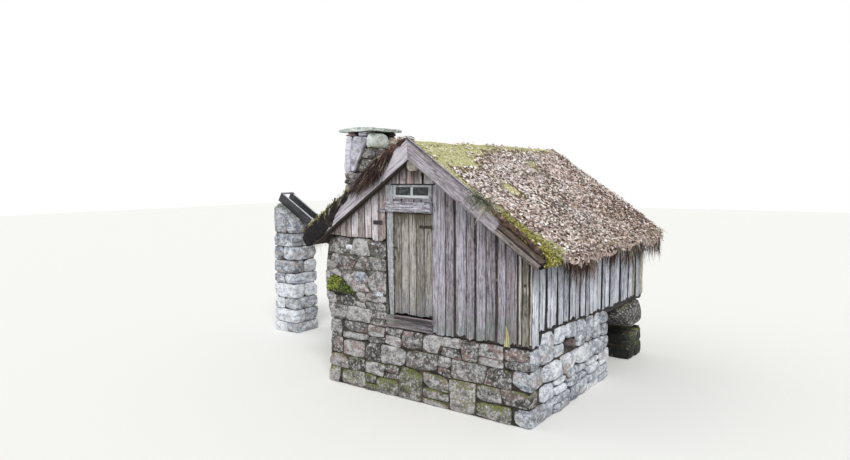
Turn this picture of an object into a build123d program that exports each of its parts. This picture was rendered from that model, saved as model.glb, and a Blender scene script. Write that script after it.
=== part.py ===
from build123d import *

import math
import os

# Small turf-roofed watermill of rough boards and granite rubble, with its head flume.
# Millimetres. +X is right as seen from the door gable, +Y runs from that gable to the back, +Z is up.
# The origin lies on the sole of the front foundation, under the ridge.

# House in plan
left_half = 1840            # ridge line to the outer face of the left wall
right_half = 1968           # ridge line to the outer face of the boarded right wall
house_length = 4820         # door gable to back gable, over the boards
board = 30                  # wall boards
stone_wall = 450            # rubble wall above the floor
foundation_wall = 670       # rubble wall under the floor
beam = 150                  # width of a sill beam
post = 120                  # side of a square post

# Heights
door_foot = 1350            # foot of the door over the sole of the foundation
door_height = 1605          # doorway over the door foot
foundation_drop = 240       # top of the foundation, below the door foot
floor_drop = 20             # floor and sill beams, below the door foot
floor_thick = 40
joist_dia = 180
joist_count = 6
tie_depth = 120             # tie beam over the doorway
window_rise = 92            # tie beam to the window frame
window_height = 228
gable_height = 394          # window head to the roof boards' underside at the ridge
rail_depth = 80             # beam over the window
plate_depth = 127           # outer face of the right wall plate
stone_front_gap = 28        # front stonework to the roof boards, at the left wall's face
stone_side_gap = 138        # stone side wall to the roof boards, where the left plate lies
bulge = 110                 # how far the old side wall leans out at mid height
batter = 60                 # how much wider the foundation is at its sole

# Roof
pitch_left = 34.2
pitch_right = 35.1
eave_left = 277             # roof boards past the left wall
eave_right = 192            # roof boards past the right wall
roof_board = 28
turf = 208
turf_hem = 45               # turf past the ends of the boards
turf_log = 110              # log that holds the turf at the eave
log_setback = 75            # log centre from the ends of the boards
verge = 170                 # roof past the front gable
ridge_log_dia = 180
ridge_log_end = 100         # ridge log past the front gable
purlin_dia = 140
barge_thick = 30
barge_drop = 19             # bargeboard below the boards' underside
barge_rise = 236            # bargeboard above the boards' underside
barge_foot = 830            # length of the pieced-out foot of the right bargeboard
foot_strip = 97             # width of one strip of that foot
foot_strip_gap = 5
cap_thick = 18
cap_length = 1150
cap_width = 46
joint = 0.5                 # open joint between neighbouring boards

# Door and window
door_left = -433
door_right = 305
door_gap = 5
door_thick = 28
door_recess = 8
ledge_width = 100
ledge_thick = 25
ledge_inset = 30
ledge_low = 250             # lower ledge over the door foot
ledge_high = 315            # upper ledge below the doorway's head
jamb_width = 167
lintel_gap = 5              # doorway's head to the lintel board
lintel_height = 195
lintel_short_left = 23      # lintel board short of the jamb's outer edge
lintel_short_right = 13     # and of the doorway's right edge
lintel_tail = 161           # thin strip that runs on left of the lintel board
tail_height = 30
lintel_proud = 30
stile_left = 55             # window frame beside the lights
stile_right = 62
mullion = 45
light_rise = 58             # window frame under the lights
light_height = 125
glass = 4
frame_proud = 10
frame_back = 25
gable_proud = 15            # upper gable boards lap over the window head
tread_inset = 53            # threshold from the doorway's left edge
tread_past = 65             # threshold past the doorway's right edge
tread_proud = 90
tread_thick = 54
tread_drop = 6

# Door irons
hinge_proud = 26            # hinge axis in front of the wall face
hinge_side = 13             # hinge axis right of the door opening
pintle_dia = 12
pintle_height = 56
pintle_fit = 0.5
eye_wall = 6
strap_drop = 225            # strap below the doorway's head
strap_height = 40
strap_length = 224          # from the doorway's right edge
strap_thick = 6
strap_bend = 19             # where the strap bends out, from the doorway's right edge
spike_depth = 80
spike_size = 12
seat_gap = 0.3
heel_foot = 20
heel_height = 30
heel_length = 60
heel_pin_depth = 40

# Right-hand stonework
tailrace_width = 1160       # opening in front of the back foundation
pier_lip = 17               # stonework proud of the boards that stand on it
lip_front = 250             # where the stones rise to the boards' feet
lip_high = 50               # boards' feet, below the door foot, near the front
lip_low = 150               # the same at the tailrace
back_foot = 190             # boards' feet over the tailrace, at the back corner
gable_foot = 230            # boards' feet of the front and back gables
corner_stone_length = 1190
corner_stone_deep = 730     # its underside at the back, below the door foot
corner_stone_thin = 400     # and at its front end
corner_stone_width = 520

# Chimney
stack_inset = 40            # from the left wall's face
stack_width = 630
stack_front = 350           # from the front gable
stack_depth = 670
stack_rise = 341            # over the roof boards' underside at the ridge
flue = 280
flue_depth = 1480
cap_stone = 150
cap_stone_height = 140
slab_thick = 50
slab_side = 70
slab_front = 50
slab_back = 110

# Flume
flume_centre = 2300         # from the front gable
flume_reach = 3650          # level distance from the left wall to its upper end
flume_entry = 425           # its centre line at the wall's face, below the door foot
flume_slope = 30.4
flume_width = 320
flume_side = 220
flume_board = 28
flume_inside = 100          # how far it reaches in past the foundation
inlet_clear = 30
flume_pier_width = 700
flume_pier_length = 620
flume_pier_batter = 60

# Derived places, in the mill's own frame
front = -foundation_wall / 2
back = front + house_length
frame_front = front + board
frame_back_face = back - board
frame_right = right_half - board
head = door_foot - foundation_drop
floor_top = door_foot - floor_drop
doorway_head = door_foot + door_height
tie_head = doorway_head + tie_depth
window_foot = tie_head + window_rise
window_head = window_foot + window_height
apex = window_head + gable_height
left_eave_height = apex - left_half * math.tan(math.radians(pitch_left))
stone_front_head = left_eave_height - stone_front_gap
stone_side_head = left_eave_height - stone_side_gap
stone_inner = -left_half + stone_wall
jamb_left = door_left - jamb_width
cellar_left = -left_half + foundation_wall
cellar_right = frame_right - foundation_wall
cellar_front = front + foundation_wall
cellar_back = back - foundation_wall
stone_back = front + stone_wall
pier_end = cellar_back - tailrace_width
stack_left = -left_half + stack_inset
stack_right = stack_left + stack_width
stack_near = front + stack_front
stack_far = stack_near + stack_depth
stack_head = apex + stack_rise
flume_y = front + flume_centre
flume_start = -left_half - flume_reach
eps = 1.0                   # how far a cutting tool reaches past a face

pieces = {}


def box(x0, x1, y0, y1, z0, z1):
    """A box between two corners."""
    return Pos((x0 + x1) / 2, (y0 + y1) / 2, (z0 + z1) / 2) * Box(x1 - x0, y1 - y0, z1 - z0)


def across(points, y0, y1):
    """An outline of x, z points, drawn out along Y."""
    face = Face(Wire.make_polygon([(x, y0, z) for x, z in points], close=True))
    return Solid.extrude(face, Vector(0, y1 - y0, 0))


def along(points, x0, x1):
    """An outline of y, z points, drawn out along X."""
    face = Face(Wire.make_polygon([(x0, y, z) for y, z in points], close=True))
    return Solid.extrude(face, Vector(x1 - x0, 0, 0))


def log_x(x0, x1, y, z, diameter):
    return Solid.make_cylinder(diameter / 2, x1 - x0, Plane(origin=(x0, y, z), z_dir=(1, 0, 0)))


def log_y(y0, y1, x, z, diameter):
    return Solid.make_cylinder(diameter / 2, y1 - y0, Plane(origin=(x, y0, z), z_dir=(0, 1, 0)))


def upright(x, y, z0, z1, diameter):
    return Solid.make_cylinder(diameter / 2, z1 - z0, Plane(origin=(x, y, z0), z_dir=(0, 0, 1)))


def pitch(side):
    return math.radians(pitch_left if side < 0 else pitch_right)


def slope_length(side):
    """The roof boards' length from the ridge to the eave."""
    reach = left_half + eave_left if side < 0 else right_half + eave_right
    return reach / math.cos(pitch(side))


def slope_point(side, run, lift):
    """The x, z place that is run down a slope from the ridge and lift square to its boards' underside."""
    angle = pitch(side)
    return (
        side * (run * math.cos(angle) + lift * math.sin(angle)),
        apex - run * math.sin(angle) + lift * math.cos(angle),
    )


def ridge_run(side, lift):
    """The run at which a plane that is lift over the boards' underside meets the plumb line of the ridge."""
    return -lift * math.tan(pitch(side))


def under_roof(x):
    """Height of the roof boards' underside at x."""
    side = -1 if x < 0 else 1
    return apex - abs(x) * math.tan(pitch(side))


def roof_reach(side, z):
    """The x at which the roof boards' underside comes down to height z."""
    return side * (apex - z) / math.tan(pitch(side))


# Foundation
def foundation():
    lean_left = -left_half - batter
    pieces["foundation_front"] = across(
        [(lean_left, 0), (frame_right + pier_lip, 0), (frame_right, head), (-left_half, head)],
        front, cellar_front)
    pieces["foundation_back"] = across(
        [(lean_left, 0), (frame_right + pier_lip, 0), (frame_right, head), (-left_half, head)],
        cellar_back, back) - corner_stone()
    pieces["corner_stone"] = corner_stone()

    side = across([(lean_left, 0), (cellar_left, 0), (cellar_left, head), (-left_half, head)],
                  cellar_front, cellar_back)
    inlet_half = flume_width / 2 + inlet_clear
    x0 = lean_left - eps
    x1 = cellar_left + eps
    pieces["foundation_left"] = side - across(
        [(x0, flume_underside(x0)), (x1, flume_underside(x1)), (x1, head + eps), (x0, head + eps)],
        flume_y - inlet_half, flume_y + inlet_half)

    body = across([(cellar_right, 0), (frame_right + pier_lip, 0), (frame_right, head), (cellar_right, head)],
                  cellar_front, pier_end)
    lip = along([(front + lip_front, 0), (pier_end, 0), (pier_end, door_foot - lip_low),
                 (front + lip_front, door_foot - lip_high)], frame_right, right_half + pier_lip)
    pieces["foundation_right"] = body + (lip - across(
        [(frame_right, 0), (frame_right + pier_lip, 0), (frame_right, head)], front, cellar_front))


def corner_stone():
    """The great stone under the back right corner, which tapers as it reaches out over the tailrace."""
    base = door_foot - corner_stone_deep
    start = back - corner_stone_length
    return along([(start, head), (back, head), (back, base), (cellar_back, base),
                  (start, door_foot - corner_stone_thin)],
                 right_half - corner_stone_width, right_half + pier_lip)


# Stone walls
def bulged_wall(inner, top, y0, y1):
    """A rubble wall whose outer face swells at mid height."""
    foot_out = (-left_half, y0, head)
    swell = (-left_half - bulge, y0, (head + top) / 2)
    head_out = (-left_half, y0, top)
    outline = Wire([
        Edge.make_three_point_arc(foot_out, swell, head_out),
        Edge.make_line(head_out, (inner, y0, top)),
        Edge.make_line((inner, y0, top), (inner, y0, head)),
        Edge.make_line((inner, y0, head), foot_out),
    ])
    return Solid.extrude(Face(outline), Vector(0, y1 - y0, 0))


def stone_walls():
    pieces["stone_wall_front"] = bulged_wall(jamb_left, stone_front_head, front, stone_back)
    pieces["stone_wall_side"] = bulged_wall(stone_inner, stone_side_head, stone_back, back)


# Chimney
def chimney():
    pieces["chimney_base"] = box(stone_inner, stack_right, stone_back, stack_far, head, stone_side_head)
    stack = along([(stack_near, stone_front_head), (stone_back, stone_front_head),
                   (stone_back, stone_side_head), (stack_far, stone_side_head), (stack_far, stack_head),
                   (stack_near, stack_head)], stack_left, stack_right)
    mid_x = (stack_left + stack_right) / 2
    mid_y = (stack_near + stack_far) / 2
    pieces["chimney_stack"] = stack - box(mid_x - flue / 2, mid_x + flue / 2, mid_y - flue / 2,
                                          mid_y + flue / 2, stack_head - flue_depth, stack_head + eps)

    stones = []
    for x in (stack_left, stack_right - cap_stone):
        for y in (stack_near, stack_far - cap_stone):
            stones.append(box(x, x + cap_stone, y, y + cap_stone, stack_head, stack_head + cap_stone_height))
    pieces["chimney_corner_stones"] = stones
    slab_foot = stack_head + cap_stone_height
    pieces["chimney_slab"] = box(stack_left - slab_side, stack_right + slab_side, stack_near - slab_front,
                                 stack_far + slab_back, slab_foot, slab_foot + slab_thick)


def chimney_hole():
    """The well that the stack needs through the roof."""
    return box(stack_left, stack_right, stack_near, stack_far, stone_front_head, stack_head)


# Timber frame
def sills_and_floor():
    inner_front = frame_front + beam
    inner_back = frame_back_face - beam
    inner_right = frame_right - beam
    sills = box(jamb_left, frame_right, frame_front, inner_front, head, floor_top)
    sills += box(inner_right, frame_right, inner_front, inner_back, head, floor_top)
    sills += box(stone_inner, frame_right, inner_back, frame_back_face, head, floor_top)
    pieces["sill_frame"] = sills

    floor_foot = floor_top - floor_thick
    joist_z = floor_foot - joist_dia / 2
    first = stack_far + joist_dia / 2
    last = inner_back - joist_dia
    logs = []
    for index in range(joist_count):
        y = first + (last - first) * index / (joist_count - 1)
        logs.append(log_x(stone_inner, inner_right, y, joist_z, joist_dia))
    pieces["floor_joists"] = logs

    floor = box(stone_inner, inner_right, stone_back, inner_back, floor_foot, floor_top)
    floor += box(jamb_left, inner_right, inner_front, stone_back, floor_foot, floor_top)
    pieces["floor_boards"] = floor - box(stone_inner - eps, stack_right, stone_back - eps, stack_far, head,
                                         floor_top + eps)


def wall_frame():
    plate_foot = under_roof(frame_right) - plate_depth
    tie_foot = doorway_head
    posts = []
    for y in (frame_front, frame_back_face - post):
        posts.append(box(door_left - door_gap - post, door_left - door_gap, y, y + post, floor_top, tie_foot))
        posts.append(box(door_right, door_right + post, y, y + post, floor_top, tie_foot))
        posts.append(box(frame_right - post, frame_right, y, y + post, floor_top, plate_foot))
    for share in (1 / 3, 2 / 3):
        y = front + house_length * share
        posts.append(box(frame_right - post, frame_right, y, y + post, floor_top, plate_foot))
    posts[1] = posts[1] - spike()
    pieces["wall_posts"] = posts
    pieces["wall_plates"] = [
        wall_plate(-1, -left_half + board, stone_side_head, stack_far),
        wall_plate(1, frame_right, plate_foot, frame_front),
    ]


def wall_plate(side, x_out, foot, y0):
    """A beam along a side wall, its top hewn to the roof."""
    x_in = x_out - side * beam
    return across([(x_out, foot), (x_out, under_roof(x_out)), (x_in, under_roof(x_in)), (x_in, foot)],
                  y0, frame_back_face)


def gable_frames():
    rail_head = window_head + rail_depth
    pieces["gable_beams"] = [
        level_beam(doorway_head, tie_head, frame_front),
        level_beam(doorway_head, tie_head, frame_back_face - post),
        level_beam(window_head, rail_head, frame_front),
    ]
    ridge_foot = apex - ridge_log_dia / 2 - ridge_drop()
    pieces["gable_studs"] = [
        box(door_left - post, door_left, frame_front, frame_front + post, tie_head, window_head),
        box(door_right, door_right + post, frame_front, frame_front + post, tie_head, window_head),
        box(-post / 2, post / 2, frame_front, frame_front + post, rail_head, ridge_foot),
        box(-post / 2, post / 2, frame_back_face - post, frame_back_face, tie_head, ridge_foot),
    ]


def level_beam(z0, z1, y):
    """A level beam across the gable, its ends cut to the roof."""
    return across([(roof_reach(-1, z0), z0), (roof_reach(1, z0), z0), (roof_reach(1, z1), z1),
                   (roof_reach(-1, z1), z1)], y, y + post)


def ridge_drop():
    """How far the ridge log's centre hangs below the apex, where it touches the steeper slope."""
    return ridge_log_dia / 2 / math.cos(math.radians(max(pitch_left, pitch_right)))


def ridge_log():
    return log_y(front - ridge_log_end, back, 0, apex - ridge_drop(), ridge_log_dia)


def ridge_notch():
    """The notch in the gable boards that the ridge log lies in, open at the top."""
    half = ridge_log_dia / 2
    return ridge_log() + box(-half, half, front - ridge_log_end, back, apex - ridge_drop(), apex + eps)


def roof_logs():
    pieces["ridge_log"] = ridge_log()
    logs = []
    for side in (-1, 1):
        centre_z = tie_head + purlin_dia / 2
        drop = purlin_dia / 2 / math.cos(pitch(side))
        x = roof_reach(side, centre_z + drop)
        logs.append(log_y(frame_front, frame_back_face, x, centre_z, purlin_dia))
    pieces["purlins"] = logs


# Wall boards
def gable_outline(x_from, x_to, foot):
    """The x, z outline of a gable between two places, from foot up to the roof."""
    points = [(x_from, foot), (x_to, foot), (x_to, under_roof(x_to))]
    if x_from < 0 < x_to:
        points.append((0, apex))
    points.append((x_from, under_roof(x_from)))
    return points


def wall_boards():
    left = across(gable_outline(-left_half, door_left, stone_front_head), front, frame_front)
    left -= box(jamb_left, door_left + eps, front - eps, frame_front + eps, stone_front_head - eps,
                doorway_head)
    pieces["front_boards_left"] = left
    pieces["front_boards_right"] = across(
        gable_outline(door_right, right_half, door_foot - gable_foot), front, frame_front) - spike()
    pieces["over_door_boards"] = box(door_left, door_right, front, frame_front, doorway_head, window_foot)
    pieces["gable_boards"] = across(
        gable_outline(door_left, door_right, window_head), front - gable_proud, frame_front) - ridge_notch()

    top = under_roof(right_half)
    lip_start = front + lip_front
    pieces["right_boards"] = along(
        [(frame_front, door_foot - gable_foot), (lip_start, door_foot - gable_foot),
         (lip_start, door_foot - lip_high), (pier_end, door_foot - lip_low), (back, door_foot - back_foot),
         (back, top), (frame_front, top)], frame_right, right_half)

    foot = door_foot - gable_foot
    pieces["back_boards"] = across(
        [(stone_inner, foot), (frame_right, foot), (frame_right, under_roof(frame_right)), (0, apex),
         (-left_half, under_roof(-left_half)), (-left_half, stone_side_head),
         (stone_inner, stone_side_head)], frame_back_face, back) - ridge_notch()


# Door, window and their trim
def hinge_axis():
    return door_right + hinge_side, front - hinge_proud


def spike():
    """The iron spike that holds the hinge pin in the door post."""
    x, y = hinge_axis()
    top = doorway_head - strap_drop - seat_gap
    return box(x - spike_size / 2, x + spike_size / 2, y, frame_front + spike_depth, top - spike_size, top)


def strap(x_left, z0, z1, eye_bore):
    """A flat iron on the leaf, bent out to an eye on the hinge axis."""
    x, y = hinge_axis()
    leaf_face = front + door_recess
    middle = leaf_face - strap_thick / 2
    bend = door_right - strap_bend
    half = strap_thick / 2
    reach = math.hypot(x - bend, y - middle)
    nx = (middle - y) / reach * half
    ny = (x - bend) / reach * half
    outline = [(x_left, middle - half), (bend, middle - half), (x - nx, y - ny), (x + nx, y + ny),
               (bend, middle + half), (x_left, middle + half)]
    face = Face(Wire.make_polygon([(px, py, z0) for px, py in outline], close=True))
    iron = Solid.extrude(face, Vector(0, 0, z1 - z0))
    iron += upright(x, y, z0, z1, pintle_dia + 2 * pintle_fit + 2 * eye_wall)
    if eye_bore:
        iron -= upright(x, y, z0 - eps, z1 + eps, pintle_dia + 2 * pintle_fit)
    return iron


def door():
    x, y = hinge_axis()
    y0 = front + door_recess
    y1 = y0 + door_thick
    top = doorway_head - 2 * door_gap
    pieces["door_leaf"] = box(door_left + door_gap, door_right - door_gap, y0, y1, door_foot + door_gap, top)
    ledges = []
    for z in (door_foot + ledge_low, doorway_head - ledge_high):
        ledges.append(box(door_left + ledge_inset, door_right - ledge_inset, y1, y1 + ledge_thick,
                          z, z + ledge_width))
    pieces["door_ledges"] = ledges

    strap_foot = doorway_head - strap_drop
    upper = strap(door_right - strap_length, strap_foot, strap_foot + strap_height, True)
    heel_z = door_foot + heel_foot
    heel = strap(door_right - heel_length, heel_z, heel_z + heel_height, False)
    heel += upright(x, y, door_foot - heel_pin_depth, heel_z, pintle_dia)
    pieces["door_irons"] = [upper, heel]

    spike_top = strap_foot - seat_gap
    pieces["door_pintle"] = spike() + upright(x, y, spike_top - spike_size, spike_top + pintle_height, pintle_dia)


def door_surround():
    x, y = hinge_axis()
    tread_top = door_foot - tread_drop
    tread = box(door_left + tread_inset, door_right + tread_past, front - tread_proud, front,
                tread_top - tread_thick, tread_top)
    riser = box(jamb_left, door_right, front, frame_front, door_foot - gable_foot, floor_top)
    pieces["threshold"] = tread + riser - upright(x, y, door_foot - heel_pin_depth - eps, tread_top + eps,
                                                  pintle_dia + 2 * pintle_fit)
    pieces["door_jamb"] = box(jamb_left, door_left - door_gap, front, frame_front, floor_top, doorway_head)
    left = jamb_left + lintel_short_left
    right = door_right - lintel_short_right
    tail = left - lintel_tail
    z0 = doorway_head + lintel_gap
    z1 = z0 + lintel_height
    pieces["lintel_board"] = across(
        [(tail, z0), (right, z0), (right, z1), (left, z1), (left, z0 + tail_height),
         (tail, z0 + tail_height)], front - lintel_proud, front)


def window():
    frame = box(door_left, door_right, front - frame_proud, front + frame_back, window_foot, window_head)
    light = (door_right - door_left - stile_left - stile_right - mullion) / 2
    z0 = window_foot + light_rise
    z1 = z0 + light_height
    panes = []
    for index in range(2):
        x0 = door_left + stile_left + index * (light + mullion)
        frame -= box(x0, x0 + light, front - frame_proud - eps, front + frame_back + eps, z0, z1)
        panes.append(box(x0, x0 + light, front, front + glass, z0, z1))
    pieces["window_frame"] = frame
    pieces["window_glass"] = panes


# Roof covering
def slope_layer(side, run_end, low, high, y0, y1):
    """A layer that lies on one slope, plumb at the ridge and square at the eave."""
    return across([slope_point(side, ridge_run(side, low), low), slope_point(side, run_end, low),
                   slope_point(side, run_end, high), slope_point(side, ridge_run(side, high), high)], y0, y1)


def turf_layer(side, y0, y1):
    """Turf on one slope, stepped over the log that holds it, with a rounded-off hem."""
    end = slope_length(side)
    log_back = end - log_setback - turf_log / 2 - joint
    over_log = roof_board + turf_log + joint
    top = roof_board + turf
    corners = [(ridge_run(side, roof_board), roof_board), (log_back, roof_board), (log_back, over_log),
               (end + turf_hem, over_log), (end + turf_hem, (over_log + top) / 2), (end - turf_hem, top),
               (ridge_run(side, top), top)]
    return across([slope_point(side, run, lift) for run, lift in corners], y0, y1)


def roof_cover():
    y0 = front - verge
    hole = chimney_hole()
    logs = []
    for side, name in ((-1, "left"), (1, "right")):
        boards = slope_layer(side, slope_length(side), 0, roof_board, y0, back)
        mat = turf_layer(side, y0, back)
        if side < 0:
            boards -= hole
            mat -= hole
        pieces["roof_boards_" + name] = boards
        pieces["turf_" + name] = mat
        x, z = slope_point(side, slope_length(side) - log_setback, roof_board + turf_log / 2)
        logs.append(log_y(y0, back, x, z, turf_log))
    pieces["turf_logs"] = logs


def bargeboards():
    y1 = front - verge
    y0 = y1 - barge_thick
    low = -barge_drop
    high = barge_rise
    pieces["barge_front_left"] = slope_layer(-1, slope_length(-1), low, high, y0, y1)

    end = slope_length(1)
    split = end - barge_foot
    strips = [slope_layer(1, split, low, high, y0, y1)]
    for index in range(2):
        foot = low + index * (foot_strip + foot_strip_gap)
        corners = [(split + joint, foot), (end, foot), (end, foot + foot_strip),
                   (split + joint, foot + foot_strip)]
        strips.append(across([slope_point(1, run, lift) for run, lift in corners], y0, y1))
    pieces["barge_front_right"] = strips

    backs = []
    caps = []
    for side in (-1, 1):
        backs.append(slope_layer(side, slope_length(side), low, high, back, back + barge_thick))
        caps.append(slope_layer(side, cap_length, high, high + cap_thick, y1 - cap_width, y1))
    ridge_slot = box(-joint, joint, y1 - cap_width - eps, back + barge_thick + eps, 0, 2 * apex)
    pieces["barges_back"] = [piece - ridge_slot for piece in backs]
    pieces["barge_caps"] = [piece - ridge_slot for piece in caps]


# Flume
def flume_line(x):
    """Height of the flume's centre line at x."""
    return door_foot - flume_entry - (x + left_half) * math.tan(math.radians(flume_slope))


def flume_underside(x):
    """Height of the flume's underside at x, on which it lies in the wall and on its pier."""
    return flume_line(x) - flume_side / 2 / math.cos(math.radians(flume_slope))


def flume():
    angle = math.radians(flume_slope)
    length = (cellar_left + flume_inside - flume_start) / math.cos(angle)
    place = Plane(origin=(flume_start, flume_y, flume_line(flume_start)),
                  x_dir=(math.cos(angle), 0, -math.sin(angle)), z_dir=(math.sin(angle), 0, math.cos(angle)))
    floor_lift = (flume_board - flume_side) / 2
    side_shift = (flume_width - flume_board) / 2
    pieces["flume_floor"] = place * Pos(length / 2, 0, floor_lift) * Box(
        length, flume_width - 2 * flume_board, flume_board)
    pieces["flume_sides"] = [
        place * Pos(length / 2, sign * side_shift, 0) * Box(length, flume_board, flume_side)
        for sign in (-1, 1)]

    pier_x = flume_start + flume_pier_length
    lean = flume_pier_batter
    pieces["flume_pier"] = across(
        [(flume_start - lean, 0), (pier_x + lean, 0), (pier_x, flume_underside(pier_x)),
         (flume_start, flume_underside(flume_start))],
        flume_y - flume_pier_width / 2, flume_y + flume_pier_width / 2)


foundation()
stone_walls()
chimney()
sills_and_floor()
wall_frame()
gable_frames()
roof_logs()
wall_boards()
door()
door_surround()
window()
roof_cover()
bargeboards()
flume()

os.makedirs("parts", exist_ok=True)
for name, shape in pieces.items():
    if isinstance(shape, list):
        shape = Compound(children=[Solid(item.wrapped) if not item.solids() else item.solids()[0]
                                   for item in shape])
    export_step(shape, "parts/" + name + ".step")
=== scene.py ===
"""Looks of a small turf-roofed watermill: rubble, weathered boards, turf with leaves and roots, a flume."""
from functools import partial
from math import acos, atan2, cos, pi, radians, sin, sqrt, tan

import bpy
import numpy as np
from mathutils import Euler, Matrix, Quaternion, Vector
from numpy.random import default_rng


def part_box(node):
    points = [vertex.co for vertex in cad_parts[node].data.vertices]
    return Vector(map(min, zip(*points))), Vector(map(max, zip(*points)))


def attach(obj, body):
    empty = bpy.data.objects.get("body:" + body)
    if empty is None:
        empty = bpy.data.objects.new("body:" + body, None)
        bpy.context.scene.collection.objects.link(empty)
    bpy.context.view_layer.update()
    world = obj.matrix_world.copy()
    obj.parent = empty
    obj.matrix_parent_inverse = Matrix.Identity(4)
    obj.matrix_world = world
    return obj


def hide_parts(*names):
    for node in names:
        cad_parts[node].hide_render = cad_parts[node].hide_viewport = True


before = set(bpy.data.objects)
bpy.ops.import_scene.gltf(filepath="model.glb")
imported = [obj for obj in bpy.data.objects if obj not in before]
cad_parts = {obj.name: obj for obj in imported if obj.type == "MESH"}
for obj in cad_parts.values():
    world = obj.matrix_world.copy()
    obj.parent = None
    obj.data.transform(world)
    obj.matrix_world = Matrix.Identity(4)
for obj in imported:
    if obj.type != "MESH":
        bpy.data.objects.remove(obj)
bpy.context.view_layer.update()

# Places of the mill in metres: +X right as seen from the door gable, +Y to the back, +Z up
FRONT = -0.335
BACK = 4.485
LEFT = -1.84
RIGHT = 1.968
APEX = 3.789                # underside of the roof boards at the ridge
PITCH = {-1: radians(34.2), 1: radians(35.1)}
RIDGE_LOG = APEX - 0.09 / cos(PITCH[1])      # middle of the ridge log
RIDGE_NOTCH = 0.092         # half the notch round it
EAVE_RUN = {-1: 2.56, 1: 2.64}
ROOF_FRONT = -0.505
HEAD = 1.11                # top of the foundation
FLOOR = 1.33
DOOR_LEFT = -0.433
DOOR_RIGHT = 0.305
DOOR_HEAD = 2.955
JAMB_LEFT = -0.6
TIE_HEAD = 3.075
WINDOW_FOOT = 3.167
WINDOW_HEAD = 3.395
BOARD = 0.03
STONE_BACK = 0.115
STONE_INNER = -1.39
FRONT_STONE_HEAD = 2.511
SIDE_STONE_HEAD = 2.401
CELLAR = (-1.17, 1.268, 0.335, 3.815)
PIER_FACE = 1.985
PIER_END = 2.655
STACK = (-1.8, -1.17, 0.015, 0.685)
STACK_HEAD = 4.13
TURF_LIFT = 0.236           # top of the turf over the underside of the roof boards
BOARD_LIFT = 0.028
FLUME_START = -5.49
FLUME_PIER_HEAD = 2.58      # head of its even courses
FLUME_Y = 1.965
FLUME_SLOPE = radians(30.4)
AIR_LIGHT = 0.55            # what the white surrounding gives, beside the lamps


# Small tools of the workshop
def linear(code):
    """An sRGB hex colour as linear light."""
    parts = [int(code[i:i + 2], 16) / 255 for i in (1, 3, 5)]
    return tuple(c / 12.92 if c <= 0.04045 else ((c + 0.055) / 1.055) ** 2.4 for c in parts) + (1.0,)


def lumps(points, size, seed=0):
    """Smooth unevenness from -1 to 1 at each point, its lumps about that many metres wide."""
    place = np.asarray(points, float) / size + 13.7 * seed + 101.3
    cell = np.floor(place)
    part = place - cell
    part = part * part * (3 - 2 * part)
    total = 0
    for corner in np.ndindex(2, 2, 2):
        spot = (cell + corner) @ (127.1, 311.7, 74.7)
        value = np.sin(spot) * 43758.5453
        weight = np.prod(np.where(corner, part, 1 - part), axis=-1)
        total = total + (2 * (value - np.floor(value)) - 1) * weight
    return total


def unit(vector):
    vector = np.asarray(vector, float)
    return vector / np.linalg.norm(vector, axis=-1, keepdims=True)


def xyz(x, y, z):
    """Points from their three coordinates, some of which may be plain numbers."""
    return np.stack(np.broadcast_arrays(x, y, z), -1)


def toned(shade=0.5, warmth=0.5, damp=0.0, soot=0.0):
    """The tone of a piece's corners. Each part is one number or has its own for each corner."""
    return np.stack(np.broadcast_arrays(shade, warmth, damp, soot), -1)


class Pile:
    """Many small closed pieces that end up as one mesh.

    Each corner keeps its place in its own piece's grain, and a tone: shade, warmth, damp or moss, and a
    darkening that is partly dirty and partly painted shade."""

    def __init__(self, rng=None):
        self.rng = rng
        self.parts = []
        self.count = 0

    def add(self, points, quads=(), tris=(), grain=None, tone=(0.5, 0.5, 0, 0), mark=0):
        points = np.reshape(points, (-1, 3))
        quads = np.reshape(quads, (-1, 4)).astype(int)
        tris = np.reshape(tris, (-1, 3)).astype(int)
        fans = np.vstack([quads[:, [0, 1, 2]], quads[:, [0, 2, 3]], tris])
        a, b, c = (points[fans[:, i]] - points.mean(0) for i in range(3))
        if np.einsum("ij,ij->", a, np.cross(b, c)) < 0:
            quads = quads[:, ::-1]
            tris = tris[:, ::-1]
        self.parts.append((points, points if grain is None else grain,
            np.broadcast_to(tone, (len(points), 4)), quads + self.count, tris + self.count,
            [mark] * len(quads), [mark] * len(tris)))
        self.count += len(points)

    def make(self, name, finishes, *stands_for, slot=None, body="house", crease=38):
        """Turns the pile into an object that rides on a body and stands for some CAD nodes."""
        points, grain, tone, quads, tris, *marks = (np.concatenate(part) for part in zip(*self.parts))
        mesh = bpy.data.meshes.new(name)
        mesh.vertices.add(len(points))
        mesh.vertices.foreach_set("co", points.ravel())
        mesh.loops.add(quads.size + tris.size)
        mesh.loops.foreach_set("vertex_index", np.r_[quads.ravel(), tris.ravel()])
        mesh.polygons.add(len(quads) + len(tris))
        mesh.polygons.foreach_set("loop_start", np.r_[0:quads.size:4, quads.size:quads.size + tris.size:3])
        mesh.polygons.foreach_set("material_index", np.concatenate(marks).astype(int))
        for key, kind, part, values in (("grain", "FLOAT_VECTOR", "vector", grain),
                ("tone", "FLOAT_COLOR", "color", tone)):
            mesh.attributes.new(key, kind, "POINT").data.foreach_set(part, values.ravel())
        for finish in finishes:
            mesh.materials.append(finish)
        mesh.update(calc_edges=True)
        mesh.validate()
        mesh.shade_smooth()
        mesh.set_sharp_from_angle(angle=radians(crease))
        piece = bpy.data.objects.new(name, mesh)
        bpy.context.scene.collection.objects.link(piece)
        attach(piece, body)
        if stands_for:
            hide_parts(*stands_for)


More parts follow.
